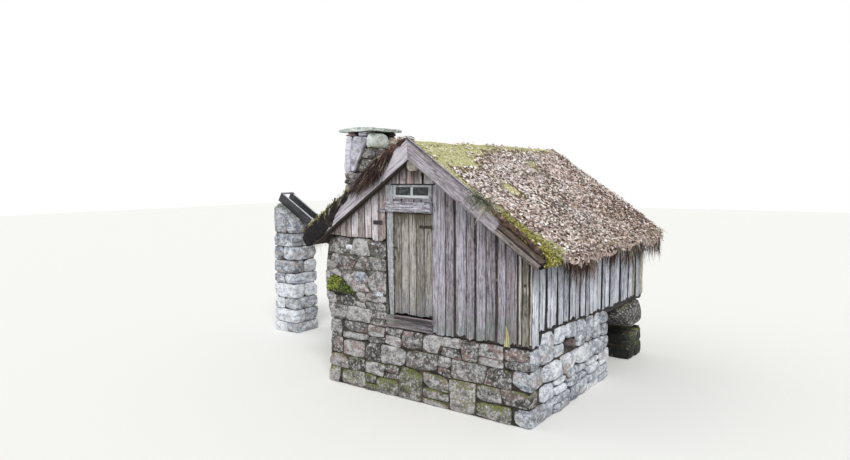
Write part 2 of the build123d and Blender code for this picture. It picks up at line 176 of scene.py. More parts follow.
def closed_sheet(top, under, keep=None):
    """Corners and quads of a sheet between two grids of points, closed all round, with holes where keep is
    false, and which corners of the two grids it uses."""
    rows, cols = top.shape[:2]
    keep = np.ones((rows - 1, cols - 1), bool) if keep is None else keep
    number = np.arange(rows * cols).reshape(rows, cols)
    r, c = np.nonzero(keep)
    face = np.stack([number[r, c], number[r + 1, c], number[r + 1, c + 1], number[r, c + 1]], 1)
    faces = [face, face[:, [0, 3, 2, 1]] + rows * cols]
    padded = np.pad(keep, 1)
    for step_r, step_c, first, second in ((-1, 0, (0, 0), (0, 1)), (1, 0, (1, 1), (1, 0)),
            (0, -1, (1, 0), (0, 0)), (0, 1, (0, 1), (1, 1))):
        r, c = np.nonzero(keep & ~padded[1 + step_r:rows + step_r, 1 + step_c:cols + step_c])
        a = number[r + first[0], c + first[1]]
        b = number[r + second[0], c + second[1]]
        faces.append(np.stack([a, b, b + rows * cols, a + rows * cols], 1))
    quads = np.vstack(faces)
    used, fresh = np.unique(quads, return_inverse=True)
    return np.concatenate([top.reshape(-1, 3), under.reshape(-1, 3)])[used], fresh.reshape(quads.shape), used


def closed_tube(rings):
    """Corners, quads and end triangles of a body drawn through rings of points."""
    count, around = rings.shape[:2]
    number = np.arange(count * around).reshape(count, around)
    ahead = np.roll(number, -1, axis=1)
    quads = np.stack([number[:-1], ahead[:-1], ahead[1:], number[1:]], -1).reshape(-1, 4)
    points = np.concatenate([rings.reshape(-1, 3), rings[:1].mean(1), rings[-1:].mean(1)])
    middle = np.full(around, count * around)
    tris = np.concatenate([np.stack([ahead[0], number[0], middle], 1),
        np.stack([number[-1], ahead[-1], middle + 1], 1)])
    return points, quads, tris


# Stones
SQUARE = ((0, 0), (1, 0), (1, 1), (0, 1))    # the corners of a stone's face in turn


def lattice_ball(parts):
    """Corners from -1 to 1 and quads of a cube whose sides are cut in so many parts."""
    places = {}
    quads = []
    for axis, side, i, j in np.ndindex(3, 2, parts, parts):
        ring = [tuple(np.roll((side * parts, i + a, j + b), axis)) for a, b in SQUARE]
        ring = [places.setdefault(spot, len(places)) for spot in ring]
        quads.append(ring if side else ring[::-1])
    return np.array(list(places), float) / parts * 2 - 1, np.array(quads)


STONE_BALLS = {parts: lattice_ball(parts) for parts in (4, 6)}
# A flat lump of six corners round two middle ones, which serves a leaf and a tuft of moss
LUMP = np.array([(cos(turn), sin(turn), 0) for turn in np.arange(6) * pi / 3] + [(0, 0, 1), (0, 0, -1)])
LUMP_TRIS = np.array([(i, (i + 1) % 6, 6) for i in range(6)] + [((i + 1) % 6, i, 7) for i in range(6)])


def rounded(ball, power):
    """The ball's corners drawn in: power 2 gives a round lump, a high one leaves a block."""
    return ball / (np.abs(ball) ** power).sum(1, keepdims=True) ** (1 / power)


def chipped(corners, rng, cuts, depth):
    """Knocks flat chips off the corners and edges."""
    for _ in range(cuts):
        way = unit(np.sign(rng.uniform(-1, 1, 3)) * rng.uniform(0.15, 1, 3))
        reach = corners @ way
        limit = reach.max() * (1 - depth * rng.uniform(0.3, 1))
        corners = corners - np.outer(np.maximum(reach - limit, 0), way)
    return corners


def stone(pile, cell, gap=0.003, power=None, rough=1.0, belly=0.05, tone=None, mark=0, moss=0.0, chips=6,
        floor=0.0, parts=6):
    """One stone in a cell of eight corners: near face left low, right low, right high, left high, then far.

    floor is the height that it keeps above, a number or a function of its points."""
    rng = pile.rng
    corners, quads = STONE_BALLS[parts]
    shape = chipped(rounded(corners, power or rng.uniform(9, 18)), rng, chips, 0.15)
    u, v, w = ((shape + 1) / 2).T
    near = [(1 - u) * (1 - v), u * (1 - v), u * v, (1 - u) * v]
    weights = [n * (1 - w) for n in near] + [n * w for n in near]
    cell = np.array(cell)
    middle = cell.mean(0)
    spans = cell - middle
    sizes = np.abs(spans).max(0) * 2
    cell = middle + spans * np.maximum(1 - 2 * gap / np.maximum(sizes, 0.03), 0.5)
    points = sum(np.outer(weight, corner) for weight, corner in zip(weights, cell))
    outward = unit(points - middle)
    face = unit(cell[:4].mean(0) - cell[4:].mean(0))
    crown = np.clip(1 - (2 * u - 1) ** 4, 0, 1) * np.clip(1 - (2 * v - 1) ** 4, 0, 1) * (w < 0.5)
    shift = rng.uniform(-50, 50, 3)
    points = points + np.outer(crown * belly * min(sizes.max(), 0.5) * rng.uniform(-0.25, 1.0), face)
    points = points + outward * (lumps(points + shift, 0.16) * 0.01 * rough + lumps(points + shift, 0.055)
        * 0.006 * rough)[:, None]
    points[:, 2] = np.maximum(points[:, 2], floor(points) if callable(floor) else floor)
    if tone is None:
        tone = (*rng.uniform(0, 1, 2), moss, 0)
    pile.add(points, quads, grain=points + shift, tone=tone, mark=mark)


class Leaf:
    """One face of a rubble wall: where it runs, with its outside on the right hand, and how far it swells."""

    def __init__(self, start, end, thick=0.28, swell=None, lean_start=None, lean_end=None):
        straight = lambda z: 0 * z
        self.start = np.array(start, float)
        self.length = float(np.hypot(*(end - self.start)))
        self.along = (end - self.start) / self.length
        self.out = np.array((self.along[1], -self.along[0]))
        self.thick = thick
        self.swell = swell or straight
        self.lean_start = lean_start or straight
        self.lean_end = lean_end or straight

    def at(self, u, z, depth):
        share = u / self.length
        u = u - self.lean_start(z) * (1 - share) + self.lean_end(z) * share
        return np.array([*(self.start + self.along * u + self.out * (self.swell(z) - depth)), z])


def free_stretches(length, taken):
    """What is left of a course between the places that are already taken."""
    left = [(0.0, length)]
    for low, high in taken:
        parts = []
        for a, b in left:
            parts += [(a, min(b, low)), (max(a, high), b)]
        left = [(a, b) for a, b in parts if b - a > 0.05]
    return left


def uneven_parts(low, high, size, rng):
    """Cuts a stretch in parts of about one size, none of them alike."""
    count = max(1, round((high - low) / size))
    cuts = np.linspace(low, high, count + 1)
    cuts[1:-1] += rng.uniform(-0.28, 0.28, count - 1) * (high - low) / count
    return list(zip(cuts[:-1], cuts[1:]))


def lay_leaf(pile, leaf, levels, size=0.42, top=None, wave=0.034, taken=(), start_in=(), end_in=(),
        deep_start=None, deep_end=None, tall=0.2, gap=0.003, moss=None, mark=0, rough=1.0, thin=0.25,
        packing=0.024, packing_mark=1, slant=0.035, parts=6):
    """Lays a wall face in uneven courses over a packing of earth. taken lists (from, to, low, high) places
    that stay free, and start_in and end_in the courses in which the neighbouring face owns the corner."""
    rng = pile.rng
    top = top or (lambda u: levels[-1])
    corner = 0.3

    def line(course, u):
        if course == 0:
            return levels[0]
        if course == len(levels) - 1:
            return top(u)
        spot = leaf.at(u, levels[course], 0)
        shift = wave * float(lumps(spot, 0.55, course) + 0.5 * lumps(spot, 0.2, course + 5))
        return min(levels[course] + shift, top(u) - 0.05)

    tall_ones = []
    for course in range(len(levels) - 2):
        for a, b in uneven_parts(0.6, max(leaf.length - 0.6, 0.7), 0.9, rng):
            if rng.random() < tall and b - a > 0.5:
                mid = (a + b) / 2 + rng.uniform(-0.1, 0.1)
                half = rng.uniform(0.13, 0.24)
                lo, hi = mid - half, mid + half
                if all(abs(c - course) > 1 or hi < x or lo > y for c, x, y in tall_ones) and all(hi < t[0]
                        or lo > t[1] for t in taken):
                    tall_ones.append((course, lo, hi))

    def place(a, b, slant_a, slant_b, low, high, thick):
        if low(a) > high(a) - 0.03 and low(b) > high(b) - 0.03:
            return
        ring = [(a + slant_a, low(a)), (b + slant_b, low(b)), (b - slant_b, high(b)), (a - slant_a, high(a))]
        cell = [leaf.at(u, z, deep) for deep in (0, thick) for u, z in ring]
        stone(pile, cell, gap=gap * rng.uniform(0.5, 1.8), moss=moss(cell[0]) if moss else 0, mark=mark,
            rough=rough, parts=parts)

    for course in range(len(levels) - 1):
        under, over = partial(line, course), partial(line, course + 1)
        busy = [(lo, hi) for c, lo, hi in tall_ones if c in (course, course - 1)]
        busy += [(lo, hi) for lo, hi, z0, z1 in taken if z0 < levels[course + 1] - 0.04
            and z1 > levels[course] + 0.04]
        busy += [(0, corner)] * (course in start_in) + [(leaf.length - corner,
            leaf.length)] * (course in end_in)
        for a, b in free_stretches(leaf.length, busy):
            spans = uneven_parts(a, b, size * rng.uniform(0.85, 1.15), rng)
            slants = [0.0] + [rng.uniform(-slant, slant) for _ in spans[1:]] + [0.0]
            for index, (lo, hi) in enumerate(spans):
                thick = leaf.thick * rng.uniform(0.85, 1.05)
                if deep_start and lo < 0.02:
                    thick = deep_start
                if deep_end and hi > leaf.length - 0.02:
                    thick = deep_end
                split = rng.random() < thin and levels[course + 1] - levels[course] > 0.2
                share = rng.uniform(0.35, 0.65)
                middle = lambda u: under(u) * (1 - share) + over(u) * share
                for low, high in [(under, middle), (middle, over)] if split else [(under, over)]:
                    place(lo, hi, slants[index], slants[index + 1], low, high, thick)
    for course, lo, hi in tall_ones:
        place(lo, hi, rng.uniform(-0.02, 0.02), rng.uniform(-0.02, 0.02), partial(line, course),
            partial(line, course + 2), leaf.thick)
    pack_joints(pile, leaf, levels[0], top, packing, taken, packing_mark)


def pack_joints(pile, leaf, foot, top, depth, taken, mark):
    """The uneven packing that closes the joints of a wall face from behind."""
    us = np.arange(0.03, leaf.length - 0.0299, 0.1)
    edges = [edge + shift for lo, hi, _, _ in taken for edge, shift in ((lo, -0.001), (hi, 0.001))]
    us = np.unique(np.clip(np.r_[us, edges, leaf.length - 0.03], 0.03, leaf.length - 0.03))
    shares = np.linspace(0, 1, 19)
    heights = [[foot + 0.01 + (top(u) - foot - 0.03) * share for u in us] for share in shares]
    near, far = (np.array([[leaf.at(u, z, deep) for u, z in zip(us, row)] for row in heights])
        for deep in (depth, depth + 0.09))
    near[..., :2] += leaf.out * (0.01 * lumps(near, 0.09))[..., None]
    keep = np.ones((len(shares) - 1, len(us) - 1), bool)
    mid_u = (us[1:] + us[:-1]) / 2
    mid_z = (near[1:, 0, 2] + near[:-1, 0, 2]) / 2
    for lo, hi, z0, z1 in taken:
        keep &= ~(((mid_u > lo) & (mid_u < hi))[None] & ((mid_z > z0 - 0.03) & (mid_z < z1))[:, None])
    points, quads, _ = closed_sheet(near, far, keep)
    pile.add(points, quads, mark=mark)


def rough_block(pile, low, high, mark):
    """A plain filling of earth and small stone behind the faces of a wall."""
    low, high = np.array(low), np.array(high)
    cell = [low + (high - low) * (u, w, v) for w in (0, 1) for u, v in SQUARE]
    stone(pile, cell, gap=0.001, power=60, rough=0.8, belly=0, tone=(0.5, 0.5, 0, 0), mark=mark, chips=0,
        parts=4)


# Boards and timbers
def board(pile, place, left, right, foot, head, thick, wane=0.004, rag_foot=0.0, rag_head=0.0, cup=0.003,
        step=0.12, cols=6, tone=None, damp=0.0, soot=0.0, mark=0, grime=1.0):
    """One board with waney edges and worn arrises.

    place(across, along, depth) gives its points. left and right are its edges and foot and head its ends, as
    functions or numbers. damp reaches so far up from the foot; a darkening reaches so far down from the head,
    partly dirty where no rain comes and partly painted shade of what overhangs; and the edges and back are
    darkened by the given amount, partly dirty joints and partly painted shade in the joints and inside."""
    rng = pile.rng
    as_line = lambda value: value if callable(value) else (lambda _: value)
    left, right, foot, head = (as_line(value) for value in (left, right, foot, head))
    mid = (left(0.5) + right(0.5)) / 2
    length = abs(head(mid) - foot(mid))
    share = np.linspace(0, 1, max(3, int(length / step) + 2))[:, None]
    seed = rng.uniform(0, 90, 3)
    track = np.outer(share * length, (0, 0, 1)) + seed
    lo, hi = (np.array([edge(s) for s in share[:, 0]]) for edge in (left, right))
    lo = lo + np.abs(wane * (lumps(track, 0.35) + 0.5 * lumps(track, 0.09)))
    hi = hi - np.abs(wane * (lumps(track + 7, 0.35) + 0.5 * lumps(track + 5, 0.09)))
    arris = min(0.009 / max(right(0.5) - left(0.5), 0.03), 0.2)
    u = np.r_[0, np.linspace(arris, 1 - arris, cols), 1]
    across = np.outer(lo, 1 - u) + np.outer(hi, u)
    ragged = lambda edge, size: np.abs(lumps(np.outer(edge, (1, 0, 0)) + seed, size))
    low_end = np.vectorize(foot)(across[0]) + rag_foot * ragged(across[0], 0.035)
    high_end = np.vectorize(head)(across[-1]) - rag_head * ragged(across[-1], 0.04)
    along = low_end * (1 - share) + high_end * share
    spot = xyz(across, along, 0) + seed
    face = (cup * ((2 * u - 1) ** 2 - 0.4) * rng.choice([-1, 1]) + 0.0022 * lumps(spot, 0.07) + 0.004
        * lumps(spot * (1, 0.4, 1), 0.3))
    face = face - face.min()
    face[:, [0, -1]] += min(0.005, thick * 0.25)
    rear = thick + 0 * across
    points, quads, used = closed_sheet(place(across, along, face), place(across, along, rear))
    both = lambda near, far: np.concatenate([near.ravel(), far.ravel()])[used]
    cross_wise, length_wise = both(across, across), both(along, along)
    tone = rng.uniform(0, 1, 2) if tone is None else tone
    # The board's edges and back are darkened: partly dirty joints, partly painted shade in the joints' depth
    # and of the dark inside
    edge_darkening = np.zeros(across.shape)
    rear_darkening = edge_darkening + 0.45
    edge_darkening[:, [0, -1]], edge_darkening[:, [1, -2]], rear_darkening[:, [0, -1]] = grime, 0.3 * grime, 1
    wet, sooty = 0, both(edge_darkening, rear_darkening)
    if damp:
        wet = np.clip(1 - (length_wise - np.interp(cross_wise, across[0], low_end)) / damp, 0, 1)
    # Darker towards the head: partly dirty where no rain comes, partly painted shade under what overhangs
    if soot:
        reach = np.interp(cross_wise, across[-1], high_end) - length_wise
        sooty = np.maximum(sooty, 0.75 * np.clip(1 - reach / soot, 0, 1))
    pile.add(points, quads, grain=xyz(cross_wise, both(face, rear), length_wise) + seed,
        tone=toned(*tone, wet, sooty), mark=mark)


def boarding(pile, place, seams, foot, head, thick=0.021, tilt=0.006, batten=None, looks=None, short=0.0,
        flare=0.0, **each):
    """A run of boards side by side. seams are (place, width of the gap), and a batten backs each joint, in a
    finish painted dark for the joint's shade.

    looks gives a board's tone and finish by its number, short how much the longest and shortest differ, and
    flare how much wider a joint may be at the foot than at its middle."""
    rng = pile.rng
    edges, gaps = np.array(seams, float).T
    gaps = gaps / 2
    slopes = rng.uniform(-tilt, tilt, len(edges))
    slopes[[0, -1]] = 0
    flares = flare * rng.uniform(-0.1, 1, len(edges))

    def side_of(i, sign):
        return lambda s: edges[i] + slopes[i] * (s - 0.5) + sign * gaps[i] * (1 + flares[i] * (1 - 2 * s))

    for i in range(len(edges) - 1):
        tone, mark = (looks or {}).get(i, (None, 0))
        raised = lambda a, lift=short * rng.random(): foot(a) + lift
        board(pile, place, side_of(i, 1), side_of(i + 1, -1), raised, head, thick, tone=tone, mark=mark,
            **each)
    if batten is None:
        return
    behind = lambda a, s, d: place(a, s, d + thick + 0.0005)
    for edge, gap in zip(edges[1:-1], gaps[1:-1] * (1 + flare)):
        board(pile, behind, edge - gap - 0.03, edge + gap + 0.03, lambda x: foot(x) + 0.03,
            lambda x: head(x) - 0.01, batten, wane=0.002, step=0.4, cols=2, cup=0, tone=(0.3, 0.5), mark=1)


def even_seams(start, end, count, rng, gap=(0.006, 0.014)):
    """Joints for boards of about one width."""
    stray = 0.15
    places = np.linspace(start, end, count + 1)
    places[1:-1] += rng.uniform(-stray, stray, count - 1) * (end - start) / count
    widths = rng.uniform(*gap, count + 1)
    widths[[0, -1]] = 0
    return list(zip(places, widths))


def timber(pile, start, end, wide, deep, power=7.0, rough=0.004, around=16, step=0.18, up=(0, 0, 1),
        trim=None, mark=0, tone=None):
    """A hewn beam or a log between two points, with its end grain. power 2 is round, 7 is squared."""
    rng = pile.rng
    start = np.array(start, float)
    way = unit(end - start)
    side = unit(np.cross(way, up))
    lift = np.cross(side, way)
    length = np.linalg.norm(end - start)
    angle = np.linspace(0, 2 * pi, around, endpoint=False) + pi / around
    ca, sa = np.cos(angle), np.sin(angle)
    radius = (np.abs(ca) ** power + np.abs(sa) ** power) ** (-1 / power)
    seed = rng.uniform(0, 90, 3)
    rings = []
    grains = []
    ends = (0.35, 0.75, 0.97)
    body = np.linspace(0, 1, max(3, int(length / step) + 2))
    for share, scale in zip([0, 0, 0, *body, 1, 1, 1], [*ends, *[1] * len(body), *ends[::-1]]):
        a, b = radius * ca * wide / 2 * scale, radius * sa * deep / 2 * scale
        along = share * length + 0 * a
        points = start + np.outer(along, way) + np.outer(a, side) + np.outer(b, lift)
        push = rough * (lumps(points + seed, 0.22) + 0.5 * lumps(points + seed, 0.07)) * scale
        rings.append(points + unit(np.outer(a, side) + np.outer(b, lift)) * (push - rough)[:, None])
        grains.append(xyz(a, b, along + seed[2]))
    rings = np.array(rings)
    points, quads, tris = closed_tube(trim(rings) if trim else rings)
    grain = np.concatenate([np.vstack(grains), [[0, 0, seed[2]], [0, 0, seed[2] + length]]])
    cut = np.zeros(len(points))
    cut[:3 * around] = 1
    cut[-3 * around - 2:] = 1
    tone = rng.uniform(0, 1, 2) if tone is None else tone
    pile.add(points, quads, tris, grain=grain, tone=toned(*tone, cut), mark=mark)


def strands(pile, paths, widths, tone, mark=0):
    """Thin tapering stalks, roots or blades along many paths at once, a little flat."""
    count, rings = paths.shape[:2]
    way = unit(paths[:, -1] - paths[:, 0])
    side = unit(np.cross(way, unit(np.array([0.31, 0.77, 0.55]) + 0 * way)))
    lift = np.cross(side, way)
    thin = np.linspace(1, 0.45, rings - 1)[None, :, None] * widths[:, None, None]
    sides = [paths[:, :-1] + side[:, None] * thin * cos(angle) + lift[:, None] * thin * sin(angle) * 0.6
        for angle in (0, 2.1, 4.2)]
    points = np.concatenate([np.stack(sides, 2).reshape(count, -1, 3), paths[:, -1:]], 1)
    per = points.shape[1]
    last = (rings - 2) * 3
    quads = [(r + s, r + t, r + 3 + t, r + 3 + s) for r in range(0, last, 3)
        for s, t in ((0, 1), (1, 2), (2, 0))]
    tris = [(0, 2, 1)] + [(last + s, last + (s + 1) % 3, per - 1) for s in range(3)]
    base = (np.arange(count) * per)[:, None, None]
    tones = np.repeat(tone[:, None], per, 1)
    tones[:, :, 2] = [*np.repeat(np.linspace(0, 0.85, rings - 1), 3), 1]
    pile.add(points, base + np.array(quads), base + np.array(tris), tone=tones.reshape(-1, 4), mark=mark)


def add_lumps(pile, points, shade, warmth, rim):
    """Adds many lumps of eight corners, each with its own shade and warmth, and each corner's third tone."""
    faces = (np.arange(len(points)) * 8)[:, None, None] + LUMP_TRIS
    tones = toned(shade[:, None], warmth[:, None], rim)
    pile.add(points, (), faces, tone=tones.reshape(-1, 4))


def fallen_leaves(pile, spots, normals, shades, warmth=0.6):
    """Curled dead leaves, each a thin closed shell that lies loosely at its spot."""
    rng = pile.rng
    count = len(spots)
    length = rng.uniform(0.036, 0.08, count)
    width = length * rng.uniform(0.45, 0.7, count)
    normal = unit(normals + rng.normal(0, 0.42, (count, 3)) * 0.6)
    along = unit(np.cross(normal, unit(rng.normal(0, 1, (count, 3)))))
    across = np.cross(normal, along)
    curl = rng.uniform(-0.15, 0.4, count) * width
    roll = rng.uniform(-0.15, 0.3, count) * length
    outline = ((-0.55, 0, 0, 1), (-0.15, -0.48, 1, 0), (0.25, -0.4, 1, 0.2), (0.5, 0, 0, 1),
        (0.25, 0.42, 1, 0.2), (-0.15, 0.5, 1, 0))
    points = [spots + along * (a * length)[:, None] + across * (b * width)[:, None] + normal
        * (edge * curl + end * roll)[:, None] for a, b, edge, end in outline]
    points += [spots + normal * lift for lift in (0.0022, -0.0012)]
    tinge = np.clip(warmth * rng.uniform(0, 1, count) ** 2, 0, 1)
    add_lumps(pile, np.stack(points, 1), shades, tinge, [1] * 6 + [0, 0])


def moss_tufts(pile, spots, normals, sizes, flat=0.6, fresh=0.0):
    """Many small soft lumps of moss that sit on what carries them. Their upper corners are marked in the
    third tone, which the moss finishes do not use.
    """
    rng = pile.rng
    count = len(spots)
    normal = unit(normals + rng.normal(0, 0.25, (count, 3)))
    side = unit(np.cross(normal, unit(rng.normal(0, 1, (count, 3)))))
    axes = (side * (sizes * rng.uniform(0.8, 1.5, count))[:, None], np.cross(normal, side) * sizes[:, None],
        normal * (sizes * flat)[:, None])
    shape = sum(LUMP[None, :, i, None] * axis[:, None] for i, axis in enumerate(axes))
    points = np.asarray(spots)[:, None] + shape
    points = points + unit(shape) * (0.34 * sizes[:, None] * lumps(points, 0.016))[..., None]
    add_lumps(pile, points, rng.uniform(0, 1, count), np.broadcast_to(fresh, count),
        np.clip(LUMP[:, 2], 0, 1))


# Finishes
def add_node(tree, kind, *feeds, out=0, stops=(), **more):
    """Adds a shader node and returns one of its outputs, or several for a slice.

    kind may end in its work, as in Math.ADD. Feeds go to its open inputs in turn, and Name=feed to the one of
    that name. A feed is a link, a value or a hex colour. name=value sets an option, and stops are a ramp's
    places and colours."""
    kind, *work = kind.split(".")
    made = tree.nodes.new("ShaderNode" + kind)
    if work:
        setattr(made, {"Mix": "data_type", "MapRange": "interpolation_type"}.get(kind, "operation"), *work)
    for name, value in more.items():
        if name[0].islower():
            setattr(made, name, value)
    if stops:
        points = made.color_ramp.elements
        while len(points) < len(stops):
            points.new(0.5)
        for point, (place, colour) in zip(points, stops):
            point.position = place
            point.color = linear(colour)
    open_inputs = [socket for socket in made.inputs if socket.enabled]
    named = {socket.name: socket for socket in open_inputs}
    fed = list(zip(open_inputs, feeds))
    fed += [(named[name.replace("_", " ")], value) for name, value in more.items() if name[0].isupper()]
    for socket, value in fed:
        if isinstance(value, bpy.types.NodeSocket):
            tree.links.new(value, socket)
        elif value is not None:
            socket.default_value = linear(value) if isinstance(value, str) else value
    return [socket for socket in made.outputs if socket.enabled][out]


def new_finish(name, roughness, ior=1.5):
    """An empty finish, with each piece's grain and tone: shade, warmth, damp or moss, and a darkening that is
    partly dirty and partly painted shade.
    """
    made = bpy.data.materials.new(name)
    made.use_nodes = True
    node = partial(add_node, made.node_tree)
    surface = made.node_tree.nodes["Principled BSDF"]
    surface.inputs["Roughness"].default_value = roughness
    surface.inputs["IOR"].default_value = ior
    grain = node("Attribute", attribute_name="grain", out=1)
    colour, soot = node("Attribute", attribute_name="tone", out=slice(0, 4, 3))
    tone = (*node("SeparateColor", colour, out=slice(3)), soot)
    return made, node, surface, grain, tone


def uneven(node, grain, *sizes):
    """The uneven patterns of a finish, each by its real size across, through and along in millimetres."""
    made = []
    for across, through, along, detail in sizes:
        placed = node("VectorMath.MULTIPLY", grain, (1000 / across, 1000 / through, 1000 / along))
        made.append(node("TexNoise", placed, Scale=1.0, Detail=detail, Roughness=0.62))
    return made


def layered(node, colour, *layers):
    """Lays colours over one another, each where its pattern passes from begin to full, and by an amount."""
    for pattern, begin, full, amount, over in layers:
        share = node("MapRange.SMOOTHSTEP", pattern, begin, full)
        share = node("Math.MULTIPLY", share, amount, use_clamp=True)
        colour = node("Mix.RGBA", share, colour, over)
    return colour


def dressed(node, surface, colour, height, depth_mm):
    """Gives the shader its colour, and a relief of a real depth."""
    links = surface.id_data.links
    links.new(colour, surface.inputs["Base Color"])
    relief = node("Bump", Strength=0.9, Distance=depth_mm / 1000, Height=height)
    links.new(relief, surface.inputs["Normal"])


def old_wood(name, dark, body, pale, warm, damp="#6f7468", soot="#3a322f", crack=0.75, crust=None,
        roughness=0.88, streak_mm=18):
    """Bare softwood left to the weather: the soft wood between the rings has washed out. So it is streaked
    dark and pale along the grain, with open checks, knots and a greener damp foot, and it darkens at its
    head, edges and back, partly dirty where no rain comes and partly painted shade.

    The fibre is 1 to 2 mm wide, and is drawn 7 mm wide to show."""
    made, node, surface, grain, (shade, warmth, wet, sooty) = new_finish(name, roughness)
    fibre, streak, patch, check, rot, bleach, mottle = uneven(node, grain, (7, 7, 130, 3),
        (streak_mm, streak_mm, 480, 3), (130, 130, 600, 2), (8, 30, 420, 1), (45, 45, 160, 3),
        (12, 30, 320, 2), (34, 34, 90, 3))
    mixed = node("Mix", 0.3, node("Mix", 0.5, streak, fibre), mottle)
    mixed = node("Math.MULTIPLY_ADD", shade, 0.2, mixed)
    mixed = node("Math.SUBTRACT", mixed, 0.1)
    colour = node("ValToRGB", mixed, stops=[(0.41, dark), (0.5, body), (0.6, pale)])
    cells = node("VectorMath.MULTIPLY", grain, (7, 1.2, 2.1))
    knots = node("TexVoronoi", cells, Scale=1.0)
    tinge = node("Math.MULTIPLY", warmth, 0.7)
    damp_share = node("Math.MULTIPLY", wet, 0.8)
    # The darkening of heads, edges and backs, partly dirty and partly painted shade, streaked along the grain
    shade_and_shelter = node("Math.MULTIPLY_ADD", sooty, 0.7, streak)
    layers = [(patch, 0.44, 0.62, tinge, warm), (bleach, 0.56, 0.64, 0.6, pale),
        (check, 0.42, 0.36, crack, soot), (knots, 0.11, 0.05, 0.8, soot), (rot, 0.36, 0.6, damp_share, damp),
        (shade_and_shelter, 0.74, 1.05, 0.93, soot)]
    if crust:
        spots, = uneven(node, grain, (38, 38, 60, 4))
        layers.append((spots, 0.52, 0.6, 0.7, crust))
    colour = layered(node, colour, *layers)
    height = node("Math.MULTIPLY_ADD", node("MapRange", check, 0.42, 0.36), -0.8, mixed)
    dressed(node, surface, colour, height, 3.0)
    return made


def round_wood(name, dark, body, pale, bark):
    """Hewn or round timber: axe and weather streaks along it, and growth rings where it is cut across.

    Rings of 2 mm are drawn 7 mm apart to show."""
    made, node, surface, grain, (shade, warmth, cut, _) = new_finish(name, 0.85)
    streak, spot, ripple = uneven(node, grain, (14, 14, 420, 3), (60, 60, 200, 2), (40, 40, 40, 2))
    mixed = node("Math.MULTIPLY_ADD", shade, 0.14, streak)
    side = node("ValToRGB", mixed, stops=[(0.42, dark), (0.56, body), (0.7, pale)])
    tinge = node("Math.MULTIPLY", warmth, 0.8)
    side = layered(node, side, (spot, 0.45, 0.6, tinge, bark))
    flat = node("VectorMath.MULTIPLY", grain, (1, 1, 0))
    reach = node("VectorMath.LENGTH", flat)
    turns = node("Math.MULTIPLY_ADD", reach, 900.0, ripple)
    wave = node("Math.SINE", turns)
    face = layered(node, node("ValToRGB", ripple, stops=[(0.3, body), (0.7, pale)]),
        (wave, 0.2, 1.0, 0.6, dark))
    colour = node("Mix.RGBA", cut, side, face)
    dressed(node, surface, colour, mixed, 4.0)
    return made


def granite(name, dark, body, pale, crust, stain="#6b5a4d", moss_dark="#363c1f", moss_pale="#777c42",
        lichen=0.5):
    """Field stone or split granite: coarse crystals, weather stains, crusts of pale lichen, moss where given.

    Crystals of 5 mm are drawn 15 mm wide to show."""
    made, node, surface, grain, (shade, warmth, moss, _) = new_finish(name, 0.92)
    crystal, cloud, flush, spots, tuft, pits = uneven(node, grain, (15, 15, 15, 3), (150, 150, 90, 3),
        (220, 220, 150, 2), (48, 48, 48, 4), (30, 30, 30, 4), (36, 36, 26, 3))
    mixed = node("Mix", 0.42, cloud, crystal)
    mixed = node("Math.MULTIPLY_ADD", shade, 0.16, mixed)
    mixed = node("Math.SUBTRACT", mixed, 0.08)
    contrast = 0.105
    colour = node("ValToRGB", mixed, stops=[(0.5 - contrast, dark), (0.5, body), (0.5 + contrast, pale)])
    dots = node("TexVoronoi", grain, Scale=1000 / 75)
    colour = layered(node, colour, (flush, 0.48, 0.64, node("Math.MULTIPLY", warmth, 0.9), stain),
        (pits, 0.4, 0.33, 0.8, dark), (spots, 0.54, 0.6, lichen, crust), (dots, 0.26, 0.2, lichen, crust))
    upward = node("SeparateXYZ", node("NewGeometry", out=1), out=2)
    lying = node("MapRange", upward, -0.2, 0.7)
    cover = node("Math.MULTIPLY_ADD", lying, 0.35, tuft)
    cover = node("Math.MULTIPLY_ADD", moss, 0.75, cover)
    grown = node("MapRange.SMOOTHSTEP", cover, 0.98, 1.12)
    grown = node("Math.MULTIPLY", grown, node("Math.MULTIPLY", moss, 6.0, use_clamp=True))
    green = node("ValToRGB", tuft, stops=[(0.38, moss_dark), (0.64, moss_pale)])
    colour = node("Mix.RGBA", grown, colour, green)
    height = node("Mix", grown, node("Mix", 0.5, mixed, pits), tuft)
    dressed(node, surface, colour, height, 16.0)
    return made


def plant_stuff(name, stops, roughness, tip=None, relief_mm=2.0, patch_mm=18, soft=0.0, fresh=None):
    """Loose plant stuff: each piece takes its own colour from a range, and its tip another."""
    made, node, surface, grain, (shade, warmth, end, _) = new_finish(name, roughness)
    spot, = uneven(node, grain, (patch_mm, patch_mm, patch_mm, 3))
    mixed = node("Math.MULTIPLY_ADD", spot, 0.5, shade)
    mixed = node("Math.SUBTRACT", mixed, 0.25)
    colour = node("ValToRGB", mixed, stops=stops)
    if fresh:
        colour = layered(node, colour, (warmth, 0.0, 1.0, 1.0, node("ValToRGB", mixed, stops=fresh)))
    if tip:
        colour = layered(node, colour, (end, 0.2, 1.0, 0.5, tip))
    dressed(node, surface, colour, spot, relief_mm)
    surface.inputs["Subsurface Weight"].default_value = soft
    surface.inputs["Subsurface Radius"].default_value = (0.01, 0.008, 0.004)
    return made


